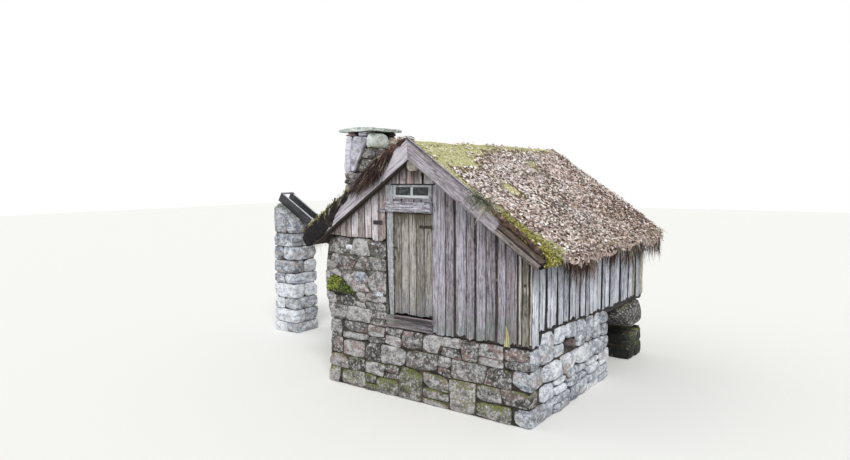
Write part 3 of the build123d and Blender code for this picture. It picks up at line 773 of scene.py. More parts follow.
def turf_mould(name):
    """Turf between the leaves: brown crumbling mould, and moss in it that is pale on the ridge and fresh at
    the verge. Crumbs of 5 mm are drawn 16 mm wide to show."""
    made, node, surface, grain, (shade, fresh, moss, _) = new_finish(name, 0.95)
    crumb, cloud = uneven(node, grain, (16, 16, 16, 4), (120, 120, 120, 3))
    soil = node("ValToRGB", crumb, stops=[(0.34, "#2a201b"), (0.5, "#6b5747"), (0.66, "#a08b76")])
    pale = node("ValToRGB", crumb, stops=[(0.34, "#5f5c34"), (0.48, "#b0ad74"), (0.6, "#dddaa8"),
        (0.74, "#f4f2d4")])
    bright = node("ValToRGB", crumb, stops=[(0.34, "#3f3d1c"), (0.48, "#7f7f2e"), (0.6, "#a9a94a"),
        (0.74, "#d3cf88")])
    green = node("Mix.RGBA", fresh, pale, bright)
    share = node("Math.MULTIPLY_ADD", cloud, 0.6, moss)
    colour = layered(node, soil, (share, 0.62, 0.8, 1.0, green))
    dressed(node, surface, colour, crumb, 16.0)
    return made


def rusty_iron(name):
    """Hand-forged wrought iron under old rust: nearly black with a brown bloom, dull and pitted."""
    made, node, surface, _, _ = new_finish(name, 0.72)
    where = node("TexCoord", out=3)
    bloom, = uneven(node, where, (16, 16, 16, 4))
    colour = node("ValToRGB", bloom, stops=[(0.36, "#1d1a1a"), (0.54, "#3a2c27"), (0.7, "#6d4a38")])
    surface.inputs["Metallic"].default_value = 0.35
    dressed(node, surface, colour, bloom, 1.2)
    return made


def dusty_glass(name):
    """Old drawn glass before a dark room: smooth and a little wavy, under a grey-green film of dust. Its
    near-black colour is painted for the shade of the room behind.
    """
    made, node, surface, _, _ = new_finish(name, 0.16, 1.52)
    where = node("TexCoord", out=3)
    film, wave = uneven(node, where, (60, 60, 40, 4), (90, 90, 90, 1))
    colour = node("ValToRGB", film, stops=[(0.4, "#050608"), (0.51, "#14181b"), (0.64, "#465052")])
    dressed(node, surface, colour, wave, 1.5)
    return made


# Rough-sawn spruce of the gable: lilac grey, with dark washed-out streaks and a few pinker boards
FRONT_WOOD = old_wood("rough_sawn_spruce_weathered", "#544c51", "#8c8791", "#bab6c2", "#8c7a77",
    damp="#6a786f", soot="#2f2829")
# Under boards and knots that show in the wide joints of the gable: brown and dull, painted darker for the
# shade in the joints
JOINT_SHADE_WOOD = old_wood("under_boards_painted_darker_for_joint_shade", "#2b2425", "#4a4042", "#6c5f60", "#53483c",
    soot="#1f1a1b")
# Narrow spruce boards under the shelter of the roof: warmer, with brown streaks where the damp ran
LEFT_WOOD = old_wood("sheltered_spruce_boards_pinkish", "#776964", "#c6bdc2", "#eeeaf0", "#ae978d",
    damp="#938d88", soot="#3a2d28", streak_mm=12)
# Slabs cut with their waney edge, washed silver and nearly white by sun and rain
SILVER_WOOD = old_wood("waney_pine_slabs_silvered", "#5b5e6c", "#b2b6c6", "#eef1fb", "#918c88",
    damp="#adb1b9", soot="#1c1b20", crack=0.9)
# The same slabs at the corner, where algae tint them olive and cream
CORNER_WOOD = old_wood("waney_pine_slabs_algae_tinted", "#48433a", "#8c8880", "#cfccc2", "#756e5f",
    damp="#918f85", soot="#26241f")
# Pine door boards: grey, darker and olive under the lintel, partly algae and partly the lintel's painted
# shadow, and blue-grey wear at the foot
DOOR_WOOD = old_wood("pine_door_boards_algae_and_shadow_tinted", "#544d47", "#8f8a86", "#b8b4b0", "#7c775e",
    damp="#757a82", soot="#423d29")
# Bargeboards, once planed: smoother, the grain raised in long lines
BARGE_WOOD = old_wood("planed_bargeboard_weathered", "#675d61", "#9b949c", "#c8c2cb", "#87797a",
    damp="#5b4f49", soot="#3f3433", streak_mm=28)
# The newer strips of the barge foot: browner and darker in the damp under the turf
FOOT_WOOD = old_wood("pieced_barge_foot_brown", "#2b2421", "#675c57", "#958c88", "#63503f", soot="#1f1917")
# The splinter at the gable's foot: split not long ago, still yellow
SPLINTER_WOOD = old_wood("fresh_split_spruce", "#6d6748", "#a8a279", "#d2cda6", "#8d8550")
# The small bare board on the gable: dark brown, smooth
PLATE_WOOD = old_wood("small_tarred_board", "#1e181d", "#2f282e", "#433b40", "#352d2f", soot="#161214")
# The lintel: blotched by crusts of pale lichen
LINTEL_WOOD = old_wood("lichened_lintel_board", "#3b3541", "#9a98a3", "#dfdeea", "#86777a", soot="#242025",
    crust="#bcbec7")
# Casing and jamb with the rest of a whitewash: pale, peeling down to grey wood
PALE_WOOD = old_wood("peeling_whitewashed_pine", "#86878d", "#a5a8ae", "#c6c9ce", "#9c9790", damp="#86888a",
    soot="#4b494a", crack=0.42, crust="#bfc2c6")
# Battens behind the joints, the jamb's edge board and the slit under the gable boards: painted nearly black
# for the shade that falls there
SHADED_WOOD = old_wood("boards_painted_dark_for_shade", "#120f10", "#231d1e", "#3a3232", "#2b2321",
    soot="#0d0b0c")
# Roof planks seen from below: brown, and painted nearly black for the shade under the roof
ROOF_SHADE_WOOD = old_wood("roof_planks_painted_dark_for_shade", "#18120f", "#2f261f", "#54463c", "#352619", soot="#110d0b")
# Flume boards: black with damp where the water runs, paler dry streaks on their outer sides
WET_WOOD = old_wood("wet_larch_flume_boards", "#101014", "#2b2c32", "#5b5c62", "#332d28", damp="#83857e",
    soot="#0c0c10", roughness=0.45)
# Timbers inside: axe-hewn pine, dry and brown
HEWN_WOOD = round_wood("hewn_pine_timber", "#4a3d33", "#7d6c5e", "#a89684", "#6b5647")
# Sills behind the gaps: damp, and painted nearly black for the shade there; the stick by the lintel has it
# too
SHADE_DARKENED_TIMBER = round_wood("damp_timber_painted_dark_for_shade", "#171312", "#2b2422", "#453b36", "#20201a")
# The ridge log's end, cut across and bleached
LOG_WOOD = round_wood("peeled_ridge_log", "#5c4f47", "#b0a498", "#dad3c9", "#77675a")
# Logs that hold the turf at the eaves: bark on, mossy and black with damp
BARK_WOOD = round_wood("mossy_log_with_bark", "#16110f", "#332924", "#564a42", "#353b1e")
# Rubble: gathered field stone, grey with pale crusts of lichen and rusty or pinkish stones among it
RUBBLE = granite("lichened_field_stone", "#343331", "#757372", "#b3b1b3", "#cbccca", stain="#836d6a")
# The pier: split granite, nearly white where rain keeps it clean
PALE_GRANITE = granite("pale_split_granite", "#646873", "#b0b5bf", "#e9edf4", "#e0e8e4", stain="#a0948f",
    lichen=0.35)
# Stones of the wheel chamber and the tailrace, and the dark ones in the chimney's smoke gap: wet, and painted
# nearly black for the shade they lie in
SHADE_DARK_STONE = granite("wet_stone_painted_dark_for_shade", "#080908", "#191b18", "#363a34", "#2b3026", stain="#1e1a17",
    lichen=0.2)
# The chimney's great slab: lilac grey, streaked blue
CHIMNEY_STONE = granite("lilac_grey_slab_stone", "#85858f", "#bbb9c8", "#dfdfec", "#dbe4e2", lichen=0.4)
# Stones rich in iron: rusty brown
BROWN_STONE = granite("rusty_brown_stone", "#332b2b", "#67585a", "#8f807c", "#a59a94", lichen=0.1)
# The chimney's cap flag and its round stone: covered by white-green lichen
CAP_STONE = granite("flagstone_with_pale_lichen", "#6f7873", "#b1bbb6", "#dde6e2", "#e2e8e5",
    moss_dark="#2c4434", moss_pale="#5f7a5c", lichen=0.7)
# Earth and small grit packed in the joints: dark and dull, and painted nearly black for the shade deep in the
# joints
JOINT_EARTH_AND_SHADE = granite("earth_in_joints_painted_dark_for_shade", "#0f0d0c", "#25211e", "#45403a", "#5a554b", lichen=0.15)
# The tight joints of the little house wall: grey grit washed flush with the stones
JOINT_GRIT = granite("grit_washed_into_joints", "#211f1c", "#45433e", "#7b7972", "#8f8f86", lichen=0.3)
# Last year's beech and oak leaves: thin, curled, pinkish straw bleached to cream
LEAVES = plant_stuff("dead_beech_and_oak_leaves", [(0.02, "#2b211e"), (0.15, "#7c6960"), (0.33, "#bdaba2"),
    (0.55, "#ddd2cb"), (0.76, "#f3ece8"), (0.95, "#fffdfb")], 0.75, tip="#b3a39c", relief_mm=1.2, soft=0.1,
    fresh=[(0.02, "#2d1912"), (0.15, "#875c49"), (0.33, "#c09079"), (0.55, "#dcb5a2"), (0.76, "#efd6c8"),
    (0.95, "#faece3")])
# Dry roots and dead grass at the right eave: straw to reddish brown
ROOTS = plant_stuff("dry_grass_roots", [(0.0, "#150a0a"), (0.24, "#3c2523"), (0.46, "#735e58"),
    (0.68, "#b3a298"), (0.94, "#efe7de")], 0.8, relief_mm=0.5)
# Roots on the shaded side: damp and dark brown
DARK_ROOTS = plant_stuff("damp_turf_roots", [(0.0, "#0f0605"), (0.28, "#2b1613"), (0.5, "#512f28"),
    (0.72, "#876353"), (0.95, "#c7ac94")], 0.8, relief_mm=0.5)
# Turf that has slumped over the left bargeboard: black mould with bark and a little moss
SLUMPED_TURF = plant_stuff("slumped_black_turf", [(0.15, "#0b0708"), (0.4, "#221a1a"), (0.6, "#493d39"),
    (0.82, "#85786c")], 0.95, relief_mm=22, patch_mm=16, fresh=[(0.15, "#1f1210"), (0.4, "#4b3029"),
    (0.6, "#7a594c"), (0.82, "#b39a88")])
# Grass bleached by winter, and the green tufts among it
PALE_GRASS = plant_stuff("bleached_grass_blades", [(0.0, "#6b654a"), (0.35, "#a69e80"), (0.65, "#cfc8ae"),
    (0.95, "#eee8d8")], 0.7, relief_mm=0.5)
GREEN_GRASS = plant_stuff("winter_green_grass_blades", [(0.0, "#1f2925"), (0.4, "#435344"), (0.7, "#74836a"),
    (0.95, "#b4ba9a")], 0.7, relief_mm=0.5)
# Moss: soft cushions without any gloss, pale on the ridge and fresh yellow-green at the verge
MOSS = plant_stuff("yellow_green_moss_cushions", [(0.1, "#75724c"), (0.38, "#b8b482"), (0.62, "#dcd9af"),
    (0.9, "#f4f1dc")], 0.95, relief_mm=12, patch_mm=10, fresh=[(0.1, "#3f3d14"), (0.38, "#7f7c2c"),
    (0.62, "#b0aa42"), (0.9, "#d9d283")])
# Moss on the house wall: damp, deep green cushions without any gloss
STONE_MOSS = plant_stuff("bright_green_moss_cushions",
    [(0.1, "#232c10"), (0.38, "#56631f"), (0.62, "#838f36"), (0.9, "#adb55c")], 0.95, relief_mm=12,
    patch_mm=10, fresh=[(0.1, "#171d0e"), (0.38, "#333f1c"), (0.62, "#55622e"), (0.9, "#7d8748")])
# Turf under the leaves: brown crumbling mould with moss in it
SOIL = turf_mould("mossy_turf_mould")
# Strap, pins and small irons of the door: dark, with a dull brown bloom
IRON = rusty_iron("forged_iron_rusted")
# The window's two lights: painted dark for the dark room behind them, and wavy under grey-green dust
GLASS = dusty_glass("dusty_drawn_glass")


# Masonry
def batter(z):
    return 0.06 * np.clip(1 - z / HEAD, 0, 1)


def bulge(top):
    """How far the old side wall swells out at a height."""
    return lambda z: 0.11 * np.clip(1 - ((z - (HEAD + top) / 2) / ((top - HEAD) / 2)) ** 2, 0, 1)


def flume_line(x):
    return 0.925 - (x - LEFT) * tan(FLUME_SLOPE)


def flume_underside(x):
    return flume_line(x) - 0.11 / cos(FLUME_SLOPE)


def foot_moss(cell_corner):
    """Moss keeps to the foot of the stonework."""
    return 0.55 * max(0.0, 1 - cell_corner[2] / 0.9)


def lay_foundation():
    rng = default_rng(11)
    levels = [0.0, 0.27, 0.52, 0.81, HEAD]
    x0, x1, y0, y1 = CELLAR
    look = [RUBBLE, JOINT_EARTH_AND_SHADE, SHADE_DARK_STONE]
    front = Pile(rng)
    lay_leaf(front, Leaf((LEFT, FRONT), (1.955, FRONT), 0.3, lean_start=batter), levels, start_in=(0, 2),
        end_in=(0, 2), moss=foot_moss)
    lay_leaf(front, Leaf((x1, y0), (x0, y0), 0.26), levels, size=0.45, mark=2, parts=4)
    front.make("foundation_front_stones", look, "foundation_front")

    back = Pile(rng)
    lay_leaf(back, Leaf((1.955, BACK), (LEFT, BACK), 0.3, lean_end=batter), levels, end_in=(0, 2),
        taken=[(0, 0.52, 0.58, HEAD)], moss=foot_moss, deep_start=0.33)
    lay_leaf(back, Leaf((x0, y1), (1.955, y1), 0.32), levels, size=0.45, mark=2, parts=4,
        taken=[(2.6, 3.2, 0.58, HEAD)], deep_end=0.34)
    lay_leaf(back, Leaf((1.955, y1), (1.955, BACK), 0.2), levels[:3], size=0.34, mark=2,
        moss=lambda corner: 0.45)
    back.make("foundation_back_stones", look, "foundation_back")

    left = Pile(rng)
    inlet_low, inlet_high = FLUME_Y - 0.19, FLUME_Y + 0.19
    lay_leaf(left, Leaf((LEFT, BACK), (LEFT, FRONT), 0.3, swell=batter), levels, start_in=(1, 3),
        end_in=(1, 3), moss=foot_moss, tall=0.15,
        taken=[(BACK - inlet_high, BACK - inlet_low, flume_underside(LEFT), HEAD + 0.1)])
    lay_leaf(left, Leaf((x0, y0), (x0, y1), 0.26), levels, size=0.45, tall=0.15, mark=2, parts=4,
        taken=[(inlet_low - y0, inlet_high - y0, flume_underside(x0), HEAD + 0.1)])
    # Large stones line the flume's inlet, below it and on both sides
    for low, high in ((inlet_low - 0.16, inlet_low), (inlet_high, inlet_high + 0.16)):
        for near, far in ((0.03, 0.36), (0.36, 0.64)):
            cell = [(LEFT + (far if w else near), low + (high - low) * u, 0.3 + 0.8 * v) for w in (0, 1)
                for u, v in SQUARE]
            stone(left, cell, power=12)
    for near, far in ((0.02, 0.35), (0.35, 0.655)):
        cell = [(LEFT + (far if w else near), inlet_low + 0.38 * u,
            flume_underside(LEFT + (far if w else near)) - 0.012 if v else 0.24) for w in (0, 1)
            for u, v in SQUARE]
        stone(left, cell, power=16, belly=0)
    left.make("foundation_left_stones", look, "foundation_left")


def lay_pier():
    """The pier of great pale blocks that carries the boarded wall."""
    rng = default_rng(24)
    x1 = CELLAR[1]
    y0 = CELLAR[2]
    low_levels = [0.0, 0.27, 0.52, 0.81, HEAD]
    levels = [*low_levels[:4], 1.24]

    def top(u):
        y = FRONT + u
        if y < -0.085:
            return HEAD
        return 1.305 - 0.1 * (y + 0.085) / (PIER_END + 0.085)

    pier = Pile(rng)
    face = Leaf((PIER_FACE, FRONT), (PIER_FACE, PIER_END), 0.34,
        swell=lambda z: -0.012 + 0.01 * np.sin(z * 4))
    lay_leaf(pier, face, levels, size=0.44, top=top, wave=0.045, start_in=(1, 3), deep_end=0.4, tall=0.3,
        gap=0.0055, rough=1.5, thin=0.3, slant=0.06, packing=0.05,
        taken=[(0.0, 0.25, 1.08, 1.4), (1.17, 1.61, 0.81, 1.4)])
    lay_leaf(pier, Leaf((x1, PIER_END - 0.01), (x1, y0), 0.26), low_levels, size=0.45, mark=3, parts=4)
    lay_leaf(pier, Leaf((PIER_FACE - 0.02, PIER_END), (x1, PIER_END), 0.24), low_levels, size=0.34, mark=3,
        taken=[(0, 0.36, 0, 2)], deep_end=0.3)
    # A rusty wedge stone with a hollow under it, and the block on top of it
    for ring, mark, power in ((((1.19, 0.915), (1.57, 0.83), (1.6, 0.95), (1.36, 1.03)), 2, 5),
            (((1.18, 1.045), (1.6, 0.99), (1.6, top(1.6)), (1.18, top(1.18))), 0, 12)):
        cell = [face.at(u, z, d) for d in (0.0, 0.3) for u, z in ring]
        stone(pier, cell, gap=0.004, power=power, mark=mark, tone=(0.4, 0.2, 0, 0))
    cell = [face.at(u, z, d) for d in (0.0, 0.34) for u, z in ((0, 0.81), (0.31, 0.81), (0.28, HEAD),
        (0, HEAD))]
    stone(pier, cell, gap=0.004, power=12)
    pier.make("foundation_right_stones", [PALE_GRANITE, JOINT_EARTH_AND_SHADE, BROWN_STONE, SHADE_DARK_STONE],
        "foundation_right")

    lo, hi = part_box("corner_stone")
    great = Pile(rng)
    cell = [(x, y, z) for y in (lo.y, hi.y) for x, z in ((lo.x, lo.z), (hi.x, lo.z), (hi.x, hi.z),
        (lo.x, hi.z))]
    under = lambda points: (0.945 - 0.325 * np.clip((points[:, 1] - lo.y) / 0.53, 0, 1) + 0.012
        * lumps(points * (1, 1, 0), 0.12))
    stone(great, cell, gap=0.003, power=12, rough=1.6, belly=0.03, tone=(-1.3, 0.3, 0.22, 0), chips=9,
        floor=under)
    great.make("corner_stone_block", [RUBBLE], "corner_stone")


def lay_stone_walls():
    rng = default_rng(37)
    front_levels = [HEAD, 1.34, 1.62, 1.96, 2.25, FRONT_STONE_HEAD]
    side_levels = [HEAD, 1.34, 1.62, 1.96, 2.25, SIDE_STONE_HEAD]
    tucked = lambda z: -0.034 * np.clip((z - 2.41) / 0.06, 0, 1)
    front = Pile(rng)
    lay_leaf(front, Leaf((LEFT, FRONT), (JAMB_LEFT, FRONT), 0.26, swell=tucked,
        lean_start=bulge(FRONT_STONE_HEAD)), front_levels, size=0.38, start_in=(1, 3), deep_end=0.44,
        moss=foot_moss, gap=0.0018, thin=0.35, rough=2.1, slant=0.07, wave=0.05, packing=0.014,
        packing_mark=2)
    # A few stones that stand out: white ones, a pinkish and a lilac one, and two of joint earth under the
    # moss mound, painted dark for the shade of the hollow there
    for x, z, wide, high, mark, tone in ((-1.385, 2.352, 0.12, 0.075, 3, (0.6, 0, 0, 0)),
            (-0.857, 2.425, 0.17, 0.055, 3, (0.1, 0, 0, 0)), (-1.53, 2.13, 0.27, 0.12, 0, (0.6, 1.0, 0, 0)),
            (-1.146, 1.88, 0.24, 0.16, 3, (0.1, 0.9, 0, 0)), (-0.76, 1.62, 0.2, 0.1, 3, (0.4, 0.7, 0, 0)),
            (-1.52, 1.6, 0.2, 0.06, 3, (0.2, 0.2, 0.1, 0)), (-1.6, 1.54, 0.3, 0.05, 1, (0.1, 0, 0, 0)),
            (-1.78, 1.585, 0.16, 0.04, 1, (0.1, 0, 0, 0))):
        cell = [(x + (u - 0.5) * wide, FRONT - 0.01 + 0.06 * w + (0.03 if z > 2.4 else 0),
            z + (v - 0.5) * high) for w in (0, 1) for u, v in SQUARE]
        stone(front, cell, gap=0.001, power=4.5, rough=0.8, mark=mark, tone=tone)
    lay_leaf(front, Leaf((JAMB_LEFT, STONE_BACK), (STONE_INNER, STONE_BACK), 0.18), front_levels, size=0.36,
        taken=[(0, 0.2, 0, 9)], parts=4)
    front.make("stone_wall_front_stones", [RUBBLE, JOINT_EARTH_AND_SHADE, JOINT_GRIT, PALE_GRANITE], "stone_wall_front")

    side = Pile(rng)
    lay_leaf(side, Leaf((LEFT, BACK), (LEFT, FRONT), 0.27, swell=bulge(SIDE_STONE_HEAD)), side_levels,
        size=0.38, end_in=(0, 2, 4), deep_start=0.44, thin=0.35, rough=1.3, slant=0.05)
    lay_leaf(side, Leaf((STONE_INNER, STONE_BACK), (STONE_INNER, BACK - 0.03), 0.18), side_levels, size=0.38,
        parts=4)
    rough_block(side, (LEFT + 0.1, FRONT + 0.3, SIDE_STONE_HEAD - 0.1),
        (STONE_INNER - 0.05, BACK - 0.08, SIDE_STONE_HEAD - 0.015), 1)
    side.make("stone_wall_side_stones", [RUBBLE, JOINT_EARTH_AND_SHADE], "stone_wall_side")


def lay_chimney():
    rng = default_rng(41)
    x0, x1, y0, y1 = STACK
    base = Pile(rng)
    lay_leaf(base, Leaf((x1, STONE_BACK), (x1, y1), 0.2), [HEAD, 1.42, 1.74, 2.08, SIDE_STONE_HEAD], size=0.3,
        deep_end=0.2, deep_start=0.2)
    base.make("chimney_base_stones", [RUBBLE, JOINT_EARTH_AND_SHADE], "chimney_base")

    stack = Pile(rng)
    levels = [SIDE_STONE_HEAD, 2.68, 2.94, 3.18, 3.38, 3.58, 3.86, STACK_HEAD]
    thick = 0.172
    more = {"size": 0.26, "wave": 0.015, "tall": 0, "packing": 0.03}
    lay_leaf(stack, Leaf((x0, y0), (x1, y0), thick), levels, **more,
        taken=[(0.0, x1 - x0, 3.58, STACK_HEAD + 0.02)])
    lay_leaf(stack, Leaf((x1, y0 + thick), (x1, y1), thick), [*levels[:6], 3.78, 3.985, STACK_HEAD], **more,
        taken=[(0, 0.29, 3.985, STACK_HEAD + 0.02)])
    lay_leaf(stack, Leaf((x1 - thick, y1), (x0, y1), thick), levels, **more)
    lay_leaf(stack, Leaf((x0, y1 - thick), (x0, y0 + thick), thick), levels, **more)
    # The great slab on edge, cracked from the top, and what is wedged in beside it
    slab_tone, crack_tone = (0.8, 0.1, 0, 0), (0.5, 0.3, 0, 0)
    for ring, mark, power, tone in ((((0.0, 3.585), (0.146, 3.585), (0.19, 4.195), (0.072, 4.185)), 1, 14,
            slab_tone), (((0.172, 3.585), (0.24, 3.6), (0.55, 4.175), (0.206, 4.198)), 1, 14, crack_tone),
            (((0.28, 3.588), (0.622, 3.588), (0.622, 3.8), (0.385, 3.81)), 0, 10, (0, 0, 0, 0)),
            (((0.4, 3.825), (0.622, 3.815), (0.622, 3.98), (0.47, 3.98)), 0, 10, (0.2, 0, 0.4, 0))):
        cell = [(x0 + u, y0 + d, z) for d in (-0.012 if mark == 1 else 0.004, thick) for u, z in ring]
        stone(stack, cell, gap=0.002, power=power, belly=0.01, mark=mark, tone=tone)
    rough_block(stack, (x0 + 0.05, y0 + 0.04, 3.585), (x1 - 0.012, y0 + thick, STACK_HEAD - 0.01), 2)
    ring = ((-0.012, 3.985), (0.46, 3.985), (0.46, 4.24), (0.0, 4.248))
    cell = [(x1 - d, y0 + u, z) for d in (-0.018, 0.13) for u, z in ring]
    stone(stack, cell, gap=0.003, power=4.5, belly=0.1, mark=3, tone=(0.9, 0.0, 0.1, 0))
    stack.make("chimney_stack_stones", [RUBBLE, CHIMNEY_STONE, JOINT_EARTH_AND_SHADE, CAP_STONE], "chimney_stack")

    props = Pile(rng)
    # Flat stones carry the flag at its corners, and stones painted dark for the shade of the smoke gap close
    # it at the left and at the back
    for across, deep, up, mark in (((0.05, 0.27), (0.00, 0.15), (0.068, 0.105), 1),
            ((0.07, 0.25), (0.01, 0.15), (0.105, 0.14), 1), ((0.34, 0.53), (0.00, 0.15), (0.064, 0.138), 2),
            ((0.49, 0.63), (0.01, 0.13), (0.116, 0.14), 0), ((0.00, 0.15), (0.52, 0.67), (0.000, 0.07), 0),
            ((0.00, 0.15), (0.52, 0.67), (0.07, 0.14), 1), ((0.48, 0.63), (0.52, 0.67), (0.000, 0.065), 0),
            ((0.48, 0.63), (0.52, 0.67), (0.065, 0.14), 1), ((0.02, 0.14), (0.14, 0.33), (0.000, 0.135), 3),
            ((0.02, 0.14), (0.34, 0.53), (0.000, 0.135), 3), ((0.14, 0.31), (0.53, 0.65), (0.000, 0.135), 3),
            ((0.32, 0.49), (0.53, 0.65), (0.000, 0.13), 3)):
        cell = [(x0 + across[u], y0 + deep[w], STACK_HEAD + up[v]) for w in (0, 1) for u, v in SQUARE]
        stone(props, cell, gap=0.0008, power=9, mark=mark, belly=0)
    props.make("chimney_corner_props", [RUBBLE, BROWN_STONE, CHIMNEY_STONE, SHADE_DARK_STONE],
        "chimney_corner_stones")

    lo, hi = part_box("chimney_slab")
    u = np.linspace(0, 1, 30)[None, :]
    v = np.linspace(0, 1, 30)[:, None]
    x = lo.x + (hi.x - lo.x) * u + 0 * v
    y = lo.y + (hi.y - lo.y) * v + 0 * u
    spot = xyz(x, y, 0 * x)
    x = x + 0.022 * lumps(spot + 3, 0.16) * (2 * u - 1) ** 6 - 0.012 * (2 * u - 1) ** 7
    y = y + 0.022 * lumps(spot + 9, 0.16) * (2 * v - 1) ** 6 - 0.012 * (2 * v - 1) ** 7
    z_top = hi.z - 0.003 + 0.008 * lumps(spot, 0.14) + 0.016 * (1 - (2 * u - 1) ** 2)
    z_low = lo.z + 0.004 * lumps(spot + 5, 0.12)
    points, quads, _ = closed_sheet(xyz(x, y, z_top), xyz(x, y, z_low))
    cap = Pile(rng)
    # Its underside is painted dark for the shade under the flag
    tone = np.zeros((2, *x.shape, 4))
    tone[..., 0] = 0.6
    tone[1, 1:-1, 1:-1, 0] = -2.0
    cap.add(points, quads, tone=tone.reshape(-1, 4))
    cap.make("chimney_cap_flag", [CAP_STONE], "chimney_slab")


def lay_flume_pier():
    rng = default_rng(53)
    pier = Pile(rng)
    half = 0.35
    count = 9
    heights = np.cumsum(np.r_[0, rng.uniform(0.8, 1.2, count)])
    heights = heights / heights[-1] * FLUME_PIER_HEAD
    for course in range(count):
        cut = rng.uniform(0.38, 0.62)
        for near, far in ((0, cut), (cut, 1)):
            cell = []
            for w in (0, 1):
                for u, v in SQUARE:
                    z = heights[course + v]
                    lean = 0.06 * (1 - z / 2.75)
                    # Courses lie along and across in turn
                    sx, sy = (near + (far - near) * u, w) if course % 2 == 0 else (u, near + (far - near) * w)
                    x = FLUME_START - lean + sx * (0.62 + 2 * lean)
                    if course == count - 1 and v:
                        z = flume_underside(x)
                    cell.append((x, FLUME_Y - half + sy * 2 * half, z))
            stone(pier, cell, gap=0.003, power=14, rough=1.2, belly=0.03, moss=0.22 * (course > 6))
    rough_block(pier, (FLUME_START + 0.03, FLUME_Y - 0.31, 0.02), (FLUME_START + 0.59, FLUME_Y + 0.31, 2.48),
        1)
    pier.make("flume_pier_stones", [PALE_GRANITE, JOINT_EARTH_AND_SHADE], "flume_pier")


# Timber frame and inside
def under_roof(x):
    side = np.where(np.asarray(x) < 0, tan(PITCH[-1]), tan(PITCH[1]))
    return APEX - np.abs(x) * side


def roof_reach(side, z):
    return side * (APEX - z) / tan(PITCH[side])


def below_roof(rings):
    """Hews timber to the underside of the roof boards."""
    rings = rings.copy()
    rings[..., 2] = np.minimum(rings[..., 2], under_roof(rings[..., 0]) - 0.001)
    return rings


def beam_between(pile, low, high, trim=None):
    """A hewn timber that fills the box between two corners, along its longest side."""
    low, high = np.array(low, float), np.array(high, float)
    size = high - low
    way = int(np.argmax(size))
    start = (low + high) / 2
    end = start.copy()
    start[way], end[way] = low[way], high[way]
    wide, deep = np.delete(size, way)
    timber(pile, start, end, wide, deep, power=9, rough=0.003, up=(0, 1, 0) if way == 2 else (0, 0, 1),
        trim=trim)


